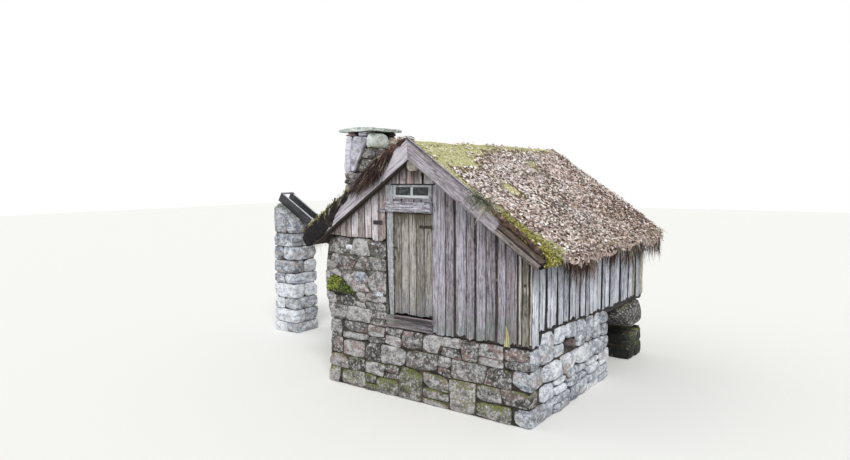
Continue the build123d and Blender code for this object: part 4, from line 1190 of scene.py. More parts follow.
def build_frame():
    rng = default_rng(61)
    y_front, y_back = FRONT + BOARD, BACK - BOARD
    x_right = RIGHT - BOARD
    sill, post, log = 0.15, 0.12, 0.18    # how thick a sill beam, a post and a joist are
    post_head = 2.305
    sills = Pile(rng)
    beam_between(sills, (JAMB_LEFT, y_front, HEAD), (x_right, y_front + sill, FLOOR))
    beam_between(sills, (x_right - sill, y_front + sill, HEAD), (x_right, y_back - sill, FLOOR))
    beam_between(sills, (STONE_INNER, y_back - sill, HEAD), (x_right, y_back, FLOOR))
    sills.make("sill_beams", [SHADE_DARKENED_TIMBER], "sill_frame")

    joists = Pile(rng)
    for y in np.linspace(STACK[3] + log / 2, y_back - sill - log, 6):
        timber(joists, (STONE_INNER, y, 1.2), (x_right - sill, y, 1.2), 0.178, 0.178, power=2, rough=0.005)
    joists.make("joist_logs", [HEWN_WOOD], "floor_joists")

    floor = Pile(rng)
    edges = np.linspace(STONE_INNER, x_right - sill, 17)
    # The floor starts behind the chimney base, the stone wall and the sill in turn
    feet = ((STACK[1], STACK[3]), (JAMB_LEFT, STONE_BACK), (RIGHT, y_front + sill))
    for lo, hi in zip(edges[:-1], edges[1:]):
        foot = next(y for end, y in feet if (lo + hi) / 2 < end)
        board(floor, lambda a, s, d: xyz(a, s, FLOOR - d), lo + 0.002, hi - 0.002, foot, y_back - sill, 0.04,
            wane=0.001, step=0.4, cols=4, cup=0.002)
    floor.make("floor_planks", [HEWN_WOOD], "floor_boards")

    posts = Pile(rng)
    for y in (y_front, y_back - post):
        for x in (DOOR_LEFT - 0.125, DOOR_RIGHT, x_right - post):
            beam_between(posts, (x, y, FLOOR), (x + post, y + post, DOOR_HEAD if x < 1 else post_head))
    for share in (1 / 3, 2 / 3):
        y = FRONT + (BACK - FRONT) * share
        beam_between(posts, (x_right - post, y, FLOOR), (x_right, y + post, post_head))
    posts.make("wall_post_timbers", [HEWN_WOOD], "wall_posts")

    plates = Pile(rng)
    beam_between(plates, (LEFT + BOARD, STACK[3], SIDE_STONE_HEAD), (LEFT + 0.18, y_back, 2.66), below_roof)
    beam_between(plates, (x_right - 0.15, y_front, 2.3), (x_right, y_back, 2.54), below_roof)
    plates.make("wall_plate_timbers", [HEWN_WOOD], "wall_plates")

    beams = Pile(rng)
    for z0, z1, y in ((DOOR_HEAD, TIE_HEAD, y_front), (DOOR_HEAD, TIE_HEAD, y_back - post),
            (WINDOW_HEAD, WINDOW_HEAD + 0.08, y_front)):
        beam_between(beams, (roof_reach(-1, z0), y, z0), (roof_reach(1, z0), y + post, z1), below_roof)
    beams.make("gable_beam_timbers", [HEWN_WOOD], "gable_beams")

    studs = Pile(rng)
    foot = APEX - 0.09 - 0.09 / cos(PITCH[1])
    for x, y, z0, z1 in ((DOOR_LEFT - post, y_front, TIE_HEAD, WINDOW_HEAD),
            (DOOR_RIGHT, y_front, TIE_HEAD, WINDOW_HEAD), (-0.06, y_front, WINDOW_HEAD + 0.08, foot),
            (-0.06, y_back - post, TIE_HEAD, foot)):
        beam_between(studs, (x, y, z0), (x + post, y + post, z1))
    studs.make("gable_stud_timbers", [HEWN_WOOD], "gable_studs")

    ridge = Pile(rng)
    timber(ridge, (0, FRONT - 0.1, RIDGE_LOG), (0, BACK, RIDGE_LOG), 0.178, 0.178, power=2, rough=0.003,
        tone=(0.8, 0.2))
    ridge.make("ridge_log_round", [LOG_WOOD], "ridge_log")

    purlins = Pile(rng)
    z = TIE_HEAD + 0.07
    for side in (-1, 1):
        x = roof_reach(side, z + 0.07 / cos(PITCH[side]))
        timber(purlins, (x, y_front, z), (x, y_back, z), 0.138, 0.138, power=2, rough=0.003)
    purlins.make("purlin_logs", [HEWN_WOOD], "purlins")


# Boarded walls
def upright(y):
    """Boards that stand in a gable, their faces at y."""
    return lambda a, s, d: xyz(a, y + d, s)


def lying(y):
    """Boards that lie along a gable, their faces at y."""
    return lambda a, s, d: xyz(s, y + d, a)


def gable_head(x):
    """Gable boards end under the roof boards, and in a notch round the ridge log."""
    if abs(x) < RIDGE_NOTCH:
        return RIDGE_LOG - sqrt(RIDGE_NOTCH ** 2 - x ** 2)
    return float(under_roof(x)) - 0.004


def board_the_front():
    rng = default_rng(72)
    right = Pile(rng)
    seams = [(0.306, 0), (0.543, 0.007), (0.708, 0.034), (0.906, 0.005), (1.063, 0.036), (1.236, 0.006),
        (1.413, 0.038), (1.556, 0.004), (1.746, 0.026), (1.812, 0.009), (1.925, 0.012), (RIGHT - 0.002, 0)]
    looks = {0: ((0.75, 0.35), 0), 1: ((0.4, 0.5), 0), 2: ((0.75, 0.15), 0), 3: ((0.45, 0.5), 0),
        4: ((0.6, 0.2), 0), 5: ((0.35, 0.3), 0), 6: ((0.62, 0.5), 0), 7: ((0.42, 0.6), 0),
        8: ((0.95, 0.2), 2), 9: ((0.2, 0.9), 2), 10: ((0.85, 0.1), 2)}
    boarding(right, upright(FRONT), seams, lambda x: 1.118, gable_head, rag_foot=0.06, batten=0.008,
        looks=looks, damp=0.6, soot=0.16, wane=0.009, cols=7, tilt=0.004, short=0.045, grime=0.5)
    # Knots that bulge out of the board edges
    for x, z in ((1.061, 2.513), (1.061, 2.202), (1.062, 1.744), (1.414, 2.372), (1.416, 2.055),
            (0.575, 3.08), (1.86, 2.02), (1.87, 1.62)):
        cell = [(x + (u - 0.5) * 0.036, FRONT - 0.003 + 0.02 * w, z + (v - 0.5) * 0.055) for w in (0, 1)
            for u, v in SQUARE]
        stone(right, cell, gap=0.0005, power=2.6, rough=0.3, mark=1, chips=0)
    # A fresh splinter of a board, stuck in at the foot
    splinter = upright(FRONT - 0.008)
    board(right, splinter, lambda s: 1.54 + 0.025 * s, lambda s: 1.638 - 0.03 * s, 1.125, 1.43, 0.012, cols=7,
        rag_head=0.16, tone=(0.7, 0.8), mark=3, grime=0.3)
    right.make("front_wall_boards_right", [FRONT_WOOD, JOINT_SHADE_WOOD, CORNER_WOOD, SPLINTER_WOOD],
        "front_boards_right")

    left = Pile(rng)
    seams = [(LEFT + 0.001, 0), (-1.715, 0.006), (-1.575, 0.01), (-1.45, 0.006), (-1.328, 0.01),
        (-1.174, 0.008), (-1.033, 0.012), (-0.894, 0.008), (-0.748, 0.006), (JAMB_LEFT - 0.001, 0)]
    feet = ((-1.84, 2.545), (-1.36, 2.52), (-0.87, 2.524), (-0.85, 2.48), (-0.655, 2.48), (-0.64, 2.52))
    foot = lambda x: float(np.interp(x, [f[0] for f in feet], [f[1] for f in feet]))
    boarding(left, upright(FRONT), seams, foot, gable_head, rag_foot=0.025, batten=0.008, damp=0.14,
        soot=0.12, wane=0.005, cols=5, grime=0.45)
    boarding(left, upright(FRONT), [(JAMB_LEFT + 0.001, 0), (DOOR_LEFT, 0)], lambda x: DOOR_HEAD + 0.002,
        gable_head, soot=0.12, wane=0.003, cols=6, looks={0: ((0.7, 0.35), 0)})
    left.make("front_wall_boards_left", [LEFT_WOOD, SHADED_WOOD], "front_boards_left")

    over = Pile(rng)
    boarding(over, upright(FRONT), even_seams(DOOR_LEFT, DOOR_RIGHT, 4, rng), lambda x: DOOR_HEAD,
        lambda x: WINDOW_FOOT - 0.001, thick=0.029, wane=0.002)
    over.make("over_door_wall_boards", [FRONT_WOOD], "over_door_boards")

    upper = Pile(rng)
    seams = [(-0.462, 0), (-0.3, 0.006), (-0.165, 0.008), (-0.02, 0.005), (0.15, 0.026), (0.352, 0)]
    boarding(upper, upright(FRONT - 0.016), seams, lambda x: WINDOW_HEAD + 0.009, gable_head, thick=0.0155,
        wane=0.003, cols=9, step=0.04, soot=0.45, looks={2: ((0.2, 0.9), 0), 3: ((0.3, 0.9), 0)})
    upper.make("upper_gable_boards", [LEFT_WOOD], "gable_boards")

    lintel = Pile(rng)
    across = lying(FRONT - BOARD)
    board(lintel, across, 2.962, lambda s: 3.15 - 0.018 * s, -0.577, 0.292, 0.029, wane=0.014, cols=8,
        step=0.03, tone=(0.5, 0.5), rag_head=0.012, rag_foot=0.01)
    board(lintel, across, 2.96, 2.99, -0.738, -0.579, 0.029, wane=0.003, cols=4, step=0.05, tone=(0.2, 0.8))
    # A stick that leans against the lintel's end
    timber(lintel, (0.292, FRONT - 0.03, 3.225), (0.372, FRONT - 0.006, 2.99), 0.01, 0.01, power=2,
        rough=0.001, around=7, step=0.04, up=(0, 1, 0), mark=1)
    lintel.make("lintel_plank", [LINTEL_WOOD, SHADE_DARKENED_TIMBER], "lintel_board")

    jamb = Pile(rng)
    board(jamb, upright(FRONT), lambda s: -0.575 + 0.055 * (1 - s) ** 2, -0.44, FLOOR + 0.002,
        DOOR_HEAD - 0.003, 0.024, wane=0.004, cols=5, damp=0.25, tone=(0.25, 0.4))
    # Its narrow left board is painted dark for the shade of the gap beside the jamb
    board(jamb, upright(FRONT), -0.598, lambda s: -0.583 + 0.05 * (1 - s) ** 2, FLOOR + 0.002,
        DOOR_HEAD - 0.003, 0.02, wane=0.002, cols=3, damp=0.4, tone=(0.15, 0.6), mark=1)
    jamb.make("door_jamb_board", [PALE_WOOD, SHADED_WOOD], "door_jamb")

    step = Pile(rng)
    tread = lambda a, s, d: xyz(s, a, 1.344 - d)
    board(step, tread, FRONT - 0.09, FRONT - 0.001, -0.38, 0.37, 0.052, wane=0.005, cols=5, step=0.06,
        tone=(0.4, 1.0), rag_foot=0.02, rag_head=0.02)
    board(step, lying(FRONT), 1.122, FLOOR - 0.002, JAMB_LEFT + 0.002, DOOR_RIGHT - 0.002, 0.028, wane=0.004,
        cols=5, tone=(0.2, 0.8), damp=0.8)
    step.make("door_step_boards", [FRONT_WOOD], "threshold")

    plate = Pile(rng)
    board(plate, lying(FRONT - 0.01), 2.752, 2.816, -0.842, -0.652, 0.009, wane=0.001, cols=4, step=0.04,
        cup=0, tone=(0.8, 0.6))
    plate.make("small_bare_board", [PLATE_WOOD], slot="weathered_board")


def board_the_sides():
    rng = default_rng(85)
    right = Pile(rng)
    place = lambda a, s, d: xyz(RIGHT - d, a, s)

    def foot(y):
        if y < -0.085:
            return 1.122
        if y < PIER_END:
            return 1.3 - 0.1 * (y + 0.085) / (PIER_END + 0.085)
        return 1.2 - 0.04 * (y - PIER_END) / (BACK - PIER_END)

    wide_gaps = {0.136: 0.062, 0.508: 0.05, 0.944: 0.066, 1.353: 0.06, 1.579: 0.04, 2.281: 0.066, 2.66: 0.056,
        3.171: 0.068, 3.62: 0.045, 4.04: 0.056}
    marks = [-0.085, *wide_gaps, BACK - 0.001]
    seams = [(FRONT + BOARD, 0), (-0.085, 0.012)]
    for low, high in zip(marks[:-1], marks[1:]):
        count = max(1, round((high - low) / 0.19))
        for i in range(1, count):
            seams.append((low + (high - low) * (i + rng.uniform(-0.2, 0.2)) / count,
                rng.uniform(0.005, 0.014)))
        seams.append((high, wide_gaps.get(high, 0)))
    # The slabs darken towards their heads, partly dirty and partly painted shade under the roof's fringe
    boarding(right, place, seams, foot, lambda y: 2.403, tilt=0.022, rag_foot=0.06, batten=0.008, damp=0.3,
        soot=0.75, wane=0.014, cols=5, step=0.08, thick=0.021, grime=0.6, flare=0.8,
        looks={0: ((0.75, 0.1), 0), 1: ((0.9, 0.1), 0), len(seams) - 2: ((0.7, 0.0), 2),
        len(seams) - 4: ((0.4, 0.1), 2)}, short=0.05)
    right.make("right_wall_slabs", [SILVER_WOOD, SHADED_WOOD, CORNER_WOOD], "right_boards")

    back = Pile(rng)
    on_back = lambda a, s, d: xyz(-a, BACK - d, s)
    x_in = RIGHT - BOARD
    back_foot = lambda a: SIDE_STONE_HEAD + 0.002 if a > -STONE_INNER else 1.122
    back_head = lambda a: gable_head(-a)
    boarding(back, on_back, even_seams(-x_in, -STONE_INNER, 18, rng, (0.005, 0.024)), back_foot, back_head,
        rag_foot=0.05, batten=0.008, damp=0.5, soot=0.16, wane=0.006, cols=5)
    boarding(back, on_back, even_seams(-STONE_INNER + 0.001, -LEFT, 3, rng), back_foot, back_head,
        rag_foot=0.02, batten=0.008, soot=0.12, cols=5)
    back.make("back_wall_boards", [FRONT_WOOD, SHADED_WOOD], "back_boards")


# Window and door
def build_window():
    rng = default_rng(91)
    window = Pile(rng)
    up = upright(FRONT - 0.01)
    across = lying(FRONT - 0.01)
    lights = (-0.378, -0.0895, -0.0445, 0.243)
    z0, z1 = WINDOW_FOOT + 0.058, WINDOW_FOOT + 0.183
    head = WINDOW_HEAD - 0.014
    plain = {"grime": 0.25, "cols": 4}
    board(window, up, DOOR_LEFT + 0.001, lights[0], WINDOW_FOOT, head, 0.035, tone=(0.5, 0.4), wane=0.004,
        step=0.03, **plain)
    board(window, up, lights[3], DOOR_RIGHT - 0.001, WINDOW_FOOT, head, 0.035, tone=(0.3, 0.5), wane=0.004,
        step=0.03, **plain)
    board(window, up, lights[1], lights[2], z0, z1, 0.035, tone=(0.9, 0.2), wane=0.001, **plain)
    # The lower rail sags to the right
    board(window, across, lambda s: z0 - 0.034 - 0.012 * s, z0, lights[0], lights[3], 0.035, tone=(1.0, 0.1),
        wane=0.001, **plain)
    board(window, across, WINDOW_FOOT, lambda s: z0 - 0.037 - 0.014 * s, lights[0], lights[3], 0.028,
        tone=(0.2, 0.5), wane=0.003, step=0.04, grime=0.6, cols=3)
    board(window, across, z1, head, lights[0], lights[3], 0.035, tone=(0.3, 0.5), wane=0.001, **plain)
    # A wide peeling board beside it, and boards painted dark for the shade of the slit under the overlapping
    # gable boards
    board(window, upright(FRONT - 0.013), -0.588, DOOR_LEFT - 0.002, WINDOW_FOOT - 0.008, head - 0.004,
        0.0125, tone=(0.45, 0.5), wane=0.006, step=0.03, cols=6, grime=0.4)
    board(window, lying(FRONT - 0.009), head + 0.001, WINDOW_HEAD + 0.012, -0.47, 0.362, 0.009, cols=2,
        wane=0.001, mark=1)
    board(window, lying(FRONT + 0.004), head - 0.03, WINDOW_HEAD, DOOR_LEFT + 0.002, DOOR_RIGHT - 0.002,
        0.018, cols=2, mark=1)
    window.make("window_casing", [PALE_WOOD, SHADED_WOOD], "window_frame")

    panes = Pile(rng)
    for x0, x1 in (lights[:2], lights[2:]):
        u = np.linspace(x0, x1, 8)[None, :] + np.zeros((5, 1))
        v = np.linspace(z0, z1, 5)[:, None] + 0 * u
        ripple = 0.0006 * lumps(xyz(u, 0 * u, v), 0.06)
        points, quads, _ = closed_sheet(xyz(u, FRONT + ripple, v), xyz(u, FRONT + 0.004 + ripple, v))
        panes.add(points, quads)
    panes.make("window_panes", [GLASS], "window_glass")


def build_door():
    rng = default_rng(97)
    leaf = Pile(rng)
    y0 = FRONT + 0.008
    place = upright(y0)
    seams = [(-0.428, 0), (-0.286, 0.006), (-0.139, 0.004), (-0.004, 0.004), (0.157, 0.007), (0.3, 0)]
    looks = {0: ((0.25, 0.3), 0), 1: ((0.65, 0.2), 0), 2: ((0.8, 0.2), 0), 3: ((0.3, 0.3), 0),
        4: ((0.55, 0.6), 0)}
    # The leaf darkens towards its head, partly dirty and partly the painted shadow of the lintel
    boarding(leaf, place, seams, lambda x: 1.356 + 0.05 * max(0, x - 0.02), lambda x: 2.944, thick=0.027,
        tilt=0.004, wane=0.003, rag_foot=0.05, damp=0.55, soot=0.45, cols=6, step=0.08, grime=0.7,
        looks=looks)
    leaf.make("door_leaf_boards", [DOOR_WOOD], "door_leaf", body="door")

    ledges = Pile(rng)
    across = lambda a, s, d: xyz(s, FRONT + 0.036 + 0.0247 - d, a)
    for z in (1.6, 2.64):
        board(ledges, across, z, z + 0.1, -0.403, 0.275, 0.0245, cols=5, wane=0.002)
    ledges.make("door_ledge_boards", [FRONT_WOOD], "door_ledges", body="door")

    marks = Pile(rng)
    small = lambda x0, x1, z0, z1, proud: [(x, y, z) for y in (y0 - proud, y0 + 0.004)
        for x, z in ((x0, z0), (x1, z0), (x1, z1), (x0, z1))]
    for box in ((-0.424, -0.398, 2.205, 2.268, 0.004), (-0.425, -0.375, 2.392, 2.408, 0.01),
            (0.07, 0.088, 2.722, 2.778, 0.008)):
        stone(marks, small(*box), gap=0.0002, power=6, rough=0.05, belly=0.02, chips=0)
    for x, z in ((0.105, 2.75), (0.175, 2.75), (0.25, 2.75)):
        stone(marks, small(x - 0.009, x + 0.009, z - 0.009, z + 0.009, 0.0115), gap=0.0002, power=2.5,
            rough=0.03, belly=0.02, chips=0)
    marks.make("door_small_irons", [IRON], slot="old_iron", body="door")
    for name in ("door_irons", "door_pintle"):
        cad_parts[name].data.materials.clear()
        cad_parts[name].data.materials.append(IRON)


# Roof
def on_slope(side, run, y, lift):
    angle = PITCH[side]
    run, y, lift = np.broadcast_arrays(run, y, lift)
    return xyz(side * (run * cos(angle) + lift * sin(angle)), y, APEX - run * sin(angle) + lift * cos(angle))


def slope_normal(side):
    return np.array([side * sin(PITCH[side]), 0, cos(PITCH[side])])


def lay_roof_boards():
    rng = default_rng(103)
    for side, name in ((-1, "left"), (1, "right")):
        pile = Pile(rng)
        place = lambda a, s, d, side=side: on_slope(side, s, a, d)
        edges = [ROOF_FRONT, *np.linspace(ROOF_FRONT, STACK[2], 5)[1:],
            *np.linspace(STACK[2], STACK[3], 5)[1:], *np.linspace(STACK[3], BACK, 26)[1:]]
        for lo, hi in zip(edges[:-1], edges[1:]):
            crosses = side < 0 and STACK[2] - 0.01 < lo and hi < STACK[3] + 0.01
            spans = [(0.0, EAVE_RUN[side])]
            if crosses:
                spans = [(0.0, 1.396), (2.18, EAVE_RUN[side])]
            for foot, head in spans:
                board(pile, place, lo + 0.0015, hi - 0.0015, foot, head, BOARD_LIFT, wane=0.002, step=0.3,
                    cols=4, cup=0.001, rag_head=0.012)
        pile.make("roof_planks_" + name, [ROOF_SHADE_WOOD], "roof_boards_" + name)
    logs = Pile(rng)
    for side in (-1, 1):
        spot = on_slope(side, EAVE_RUN[side] - 0.075, 0.0, BOARD_LIFT + 0.055)
        timber(logs, (spot[0], ROOF_FRONT, spot[2]), (spot[0], BACK, spot[2]), 0.108, 0.108, power=2,
            rough=0.004, step=0.1)
    logs.make("eave_logs", [BARK_WOOD], "turf_logs")


def moss_share(side, run, y):
    """How mossy the turf is at a place on a slope, from 0 to 1."""
    run, y = np.broadcast_arrays(np.asarray(run, float), np.asarray(y, float))
    spot = xyz(run, y, 0 * run + side)
    ragged = 0.9 * lumps(spot, 0.42, 3) + 0.7 * lumps(spot, 0.16, 4) + 0.35 * lumps(spot, 0.06, 6)
    share = np.zeros(run.shape)
    patches = [(0.08, 0.05, 0.44, 0.8, 1.8), (0.0, 1.25, 0.13, 0.8, 1.35), (0.03, 2.43, 0.14, 0.22, 1.5),
        (0.54, 2.48, 0.12, 0.14, 1.9), (1.24, 0.66, 0.17, 0.13, 1.9), (0.0, 3.6, 0.12, 1.0, 1.35)]
    if side < 0:
        patches += [(1.2, 2.2, 0.45, 0.85, 0.75), (2.2, 3.2, 0.35, 0.9, 0.75), (1.9, -0.2, 0.9, 0.3, 1.2),
            (0.5, 3.9, 0.4, 0.6, 0.75), (1.7, 1.0, 0.3, 0.6, 0.75)]
    else:
        patches += [(2.25, -0.38, 0.66, 0.18, 1.7), (2.52, -0.27, 0.26, 0.24, 1.7),
            (0.8, -0.46, 0.9, 0.12, 1.35)]
    for r, c, dr, dy, strength in patches:
        reach = ((run - r) / dr) ** 2 + ((y - c) / dy) ** 2
        share = np.maximum(share, np.clip(strength - 0.8 * reach + 0.7 * ragged, 0, 1))
    return share


def moss_fresh(side, run, y):
    """Freshness of the moss: pale and dry on the ridge, yellow green down the verge."""
    down = np.clip((run - 1.35) / 0.5, 0, 1)
    return down * np.clip(1.2 - (y - ROOF_FRONT) / 0.5, 0.25, 1) if side > 0 else 0.15 + 0.5 * down


def turf_height(spot):
    """How far the turf's top stands above or below its even line."""
    return 0.02 * lumps(spot, 0.75, 1) + 0.016 * lumps(spot, 0.28, 2) + 0.008 * lumps(spot, 0.1, 5)


def lay_turf():
    for side, name in ((-1, "left"), (1, "right")):
        angle = PITCH[side]
        eave = EAVE_RUN[side]
        log_back = eave - 0.1305
        xs = np.arange(0, log_back * cos(angle), 0.042)
        ys = np.linspace(ROOF_FRONT, BACK, 121)
        stack_near, stack_far = -STACK[1], -STACK[0]
        if side < 0:
            xs = np.sort(np.r_[xs[np.abs(xs - stack_near) > 0.02], stack_near, stack_far])
            xs = xs[(np.abs(xs - stack_far) > 0.02) | (xs == stack_far)]
            for edge in STACK[2:]:
                ys[np.argmin(np.abs(ys - edge))] = edge
        # The hem round the eave log: run and lift of its top, and of its underside
        hem = np.array([(log_back + 0.02, TURF_LIFT, log_back, BOARD_LIFT + 0.002),
            (log_back + 0.06, TURF_LIFT - 0.004, log_back + 0.002, 0.1388),
            (eave - 0.03, TURF_LIFT - 0.012, eave - 0.06, 0.139), (eave + 0.015, 0.208, eave - 0.02, 0.139),
            (eave + 0.042, 0.178, eave + 0.01, 0.139), (eave + 0.046, 0.15, eave + 0.036, 0.139)])
        top, under = (np.concatenate([xyz(side * xs, ys[:, None], APEX - xs * tan(angle) + lift / cos(angle)),
            on_slope(side, hem[:, i], ys[:, None], hem[:, i + 1])], 1)
            for i, lift in ((0, TURF_LIFT), (2, BOARD_LIFT + 0.001)))
        rise = turf_height(top)
        ridge = np.exp(-(np.abs(top[..., 0]) / 0.1) ** 2) * 0.028
        front = np.clip((top[..., 1] - ROOF_FRONT) / 0.06, 0, 1)
        swing = np.where(np.arange(top.shape[1]) < len(xs) + 4, 1.0, 0.35)
        lift_up = rise * swing * (0.35 + 0.65 * front) - 0.012 * (1 - front)
        top = top + lift_up[..., None] * slope_normal(side)
        top[..., 2] -= ridge
        keep = np.ones((len(ys) - 1, top.shape[1] - 1), bool)
        if side < 0:
            mid_y = (ys[1:] + ys[:-1]) / 2
            mid_x = np.r_[(xs[1:] + xs[:-1]) / 2, [9.0] * len(hem)]
            keep &= ~(((mid_y > STACK[2]) & (mid_y < STACK[3]))[:, None] & (mid_x > stack_near)
                & (mid_x < stack_far))
        points, quads, used = closed_sheet(top, under, keep)
        place = np.r_[xs / cos(angle), hem[:, 0]], ys[:, None]
        tones = toned(0, moss_fresh(side, *place), moss_share(side, *place)).reshape(-1, 4)
        turf = Pile()
        turf.add(points, quads, tone=np.concatenate([tones, 0 * tones])[used])
        turf.make("turf_" + name + "_sod", [SOIL], "turf_" + name, crease=70)


def turf_spots(pile, side, count, low, y_to=BACK - 0.01, stays=None):
    """Random places on the turf's top: run, y, points and normals. stays chooses some by luck and moss."""
    rng = pile.rng
    eave = EAVE_RUN[side] + 0.02
    run = rng.uniform(low, eave, count)
    y = rng.uniform(ROOF_FRONT, y_to, count)
    if side < 0:
        x = run * cos(PITCH[side]) + TURF_LIFT * sin(PITCH[side])
        free = (x < 1.12) | (x > 1.85) | (y < -0.04) | (y > 0.74)
        run, y = run[free], y[free]
    if stays:
        chosen = stays(rng.random(len(run)), moss_share(side, run, y))
        run, y = run[chosen], y[chosen]
    hem = np.clip((run - (eave - 0.06)) / 0.06, 0, 1)
    spots = on_slope(side, run, y, TURF_LIFT - 0.02 * hem)
    normals = np.broadcast_to(slope_normal(side), spots.shape)
    return run, y, spots + normals * turf_height(spots)[:, None], normals


def strew_leaves():
    for side, name, count, hung in ((1, "right", 14000, 1150), (-1, "left", 7400, 700)):
        rng = default_rng(120 + side)
        pile = Pile(rng)
        run, y, spots, normals = turf_spots(pile, side, count, -0.12, stays=lambda luck, moss: luck > 0.99
            * moss ** 0.6)
        spots = spots + normals * rng.uniform(0.002, 0.022, len(spots))[:, None]
        # Leaves that blew together bleached alike, the ones at the back and the eave less
        shades = 0.74 - 0.03 * y - 0.07 * run + 0.24 * lumps(spots, 0.3, 2) + rng.uniform(-0.54, 0.5,
            len(spots))
        # More of them keep a reddish tinge towards the eave and the back
        warmth = np.clip(0.25 + 0.2 * run + 0.1 * (y - 1.5) + 0.7 * lumps(spots, 0.45, 9), 0, 1.6)
        fallen_leaves(pile, spots, normals, np.clip(shades, 0, 1), warmth)
        # Some roll over the eave's edge and hang in its roots
        y = rng.uniform(-0.2, BACK, hung)
        down = rng.random(hung) ** 1.3
        drop = 0.17 * down * (0.7 + 0.5 * lumps(np.outer(y, (0, 1, 0)), 0.22, 4))
        spots = on_slope(side, EAVE_RUN[side] + 0.01 + 0.055 * down ** 0.5, y, 0.236) - np.outer(drop,
            (0, 0, 1))
        fallen_leaves(pile, spots, xyz(side * (0.4 + down), 0, 1.1 - down),
            rng.uniform(0.05, 0.9, hung) * (1 - 0.35 * down))
        pile.make("leaf_litter_" + name, [LEAVES], slot="turf", crease=60)


def grow_moss():
    rng = default_rng(133)
    pile = Pile(rng)
    for side in (-1, 1):
        run, y, spots, normals = turf_spots(pile, side, 9000, -0.05, stays=lambda luck, moss: luck < 0.85
            * moss ** 1.3)
        moss_tufts(pile, spots - normals * 0.004, normals, rng.uniform(0.008, 0.024, len(run)),
            fresh=moss_fresh(side, run, y))
    # A dense fine cushion of it down the right verge
    run, y, spots, normals = turf_spots(pile, 1, 3600, 1.45, 0.0, lambda luck, moss: luck < moss)
    moss_tufts(pile, spots + normals * rng.uniform(0.0, 0.012, (len(run), 1)), normals,
        rng.uniform(0.005, 0.013, len(run)), fresh=moss_fresh(1, run, y))
    # It rolls over the eave at its front corner
    count = 900
    turn = rng.uniform(0, 1, count)
    spots = on_slope(1, EAVE_RUN[1] + 0.03 + 0.035 * np.sin(pi * turn),
        rng.uniform(-0.53, -0.16, count) - 0.02, 0.235 - 0.13 * turn)
    moss_tufts(pile, spots + rng.normal(0, 0.01, (count, 3)), np.broadcast_to((1.0, 0, 0.5), spots.shape),
        rng.uniform(0.008, 0.02, count), fresh=0.9)
    # Moss that laps over the upper edges of the bargeboards towards their feet
    for side, low, high, count, fresh, y_low, lift, small, large in ((1, 1.4, 2.66, 1100, 0.9, -0.548, 0.24,
            0.005, 0.016), (-1, 0.95, 2.5, 620, 0.5, -0.59, 0.276, 0.006, 0.018)):
        run = low + (high - low) * rng.uniform(0, 1, count) ** 0.8
        run = run[lumps(np.outer(run, (1, 0, 0)), 0.14, 8) > -0.15]
        depth = rng.uniform(0, 0.06, len(run)) * rng.random(len(run))
        spots = on_slope(side, run, rng.uniform(y_low, -0.49, len(run)), lift - depth)
        moss_tufts(pile, spots, np.broadcast_to(slope_normal(side) + (0, -0.5, 0), spots.shape),
            rng.uniform(small, large, len(run)), fresh=fresh)
    pile.make("roof_moss", [MOSS], slot="turf", crease=180)

    # A bright mound of moss on a ledge of the house wall, and darker moss that creeps on from it
    green = Pile(rng)
    for middle, half, foot, tall, deep, count in ((-1.665, 0.225, 1.625, 0.225, 0.08, 2100),
            (-1.45, 0.15, 1.585, 0.13, 0.035, 700)):
        across = rng.uniform(-1, 1, count)
        share = rng.uniform(0, 1, count) ** 0.8
        dome = np.sqrt(1 - across ** 2)
        z = foot + tall * dome * share + 0.012 * rng.normal(0, 1, count)
        depth = deep * dome * np.sqrt(1 - (0.9 * share) ** 2)
        spots = xyz(middle + half * across, FRONT - depth + rng.uniform(-0.004, 0.022, count), z)
        creeping = half < 0.2
        moss_tufts(green, spots, xyz(0.5 * across, -1, 1.4 * share), rng.uniform(0.007, 0.017, count),
            flat=0.8, fresh=np.clip(0.15 + 1.4 * across * (not creeping) + creeping - 0.6 * share, 0, 1))
    heart = [(x, y, z) for y in (FRONT - 0.045, FRONT + 0.06) for x, z in ((-1.83, 1.63), (-1.46, 1.63),
        (-1.54, 1.8), (-1.78, 1.8))]
    stone(green, heart, gap=0.001, power=3, rough=1.5, chips=0)
    green.make("stone_wall_moss", [STONE_MOSS], slot="turf", crease=180)


def hanging(starts, ways, lengths, rng, sag, rings=4):
    """Paths of stalks that set out one way and are bent down by their own weight."""
    t = np.linspace(0, 1, rings)[None, :, None]
    lengths = lengths[:, None, None]
    paths = starts[:, None] + ways[:, None] * t * lengths + np.array([0, 0, -1]) * (sag * lengths) * t ** 1.7
    wobble = rng.normal(0, 0.05, (len(starts), 1, 3)) * t ** 2 + rng.normal(0, 0.03,
        (len(starts), rings, 3)) * t
    return paths + wobble * lengths


def tones_of(rng, count, low=0.0, high=1.0):
    return toned(rng.uniform(low, high, count), rng.uniform(0, 1, count))


def hang_lock(pile, start, way, reach, count, mark=0, sag=0.6, shades=(0.0, 1.0), y_range=None,
        thick=(0.0016, 0.0046)):
    """A lock of roots or stalks that grow from one place and hang together."""
    rng = pile.rng
    shade = rng.uniform(*shades)
    starts = start + rng.normal(0, 0.016, (count, 3)) * (0.6, 1.0, 0.5)
    ways = unit(way + rng.normal(0, 0.14, (count, 3)))
    paths = hanging(starts, ways, reach * rng.uniform(0.55, 1.1, count), rng, sag, rings=5)
    if y_range:
        paths[..., 1] = np.clip(paths[..., 1], *y_range)
    strands(pile, paths, rng.uniform(*thick, count), tones_of(rng, count, max(shade - 0.14, 0),
        min(shade + 0.14, 1)), mark=mark)


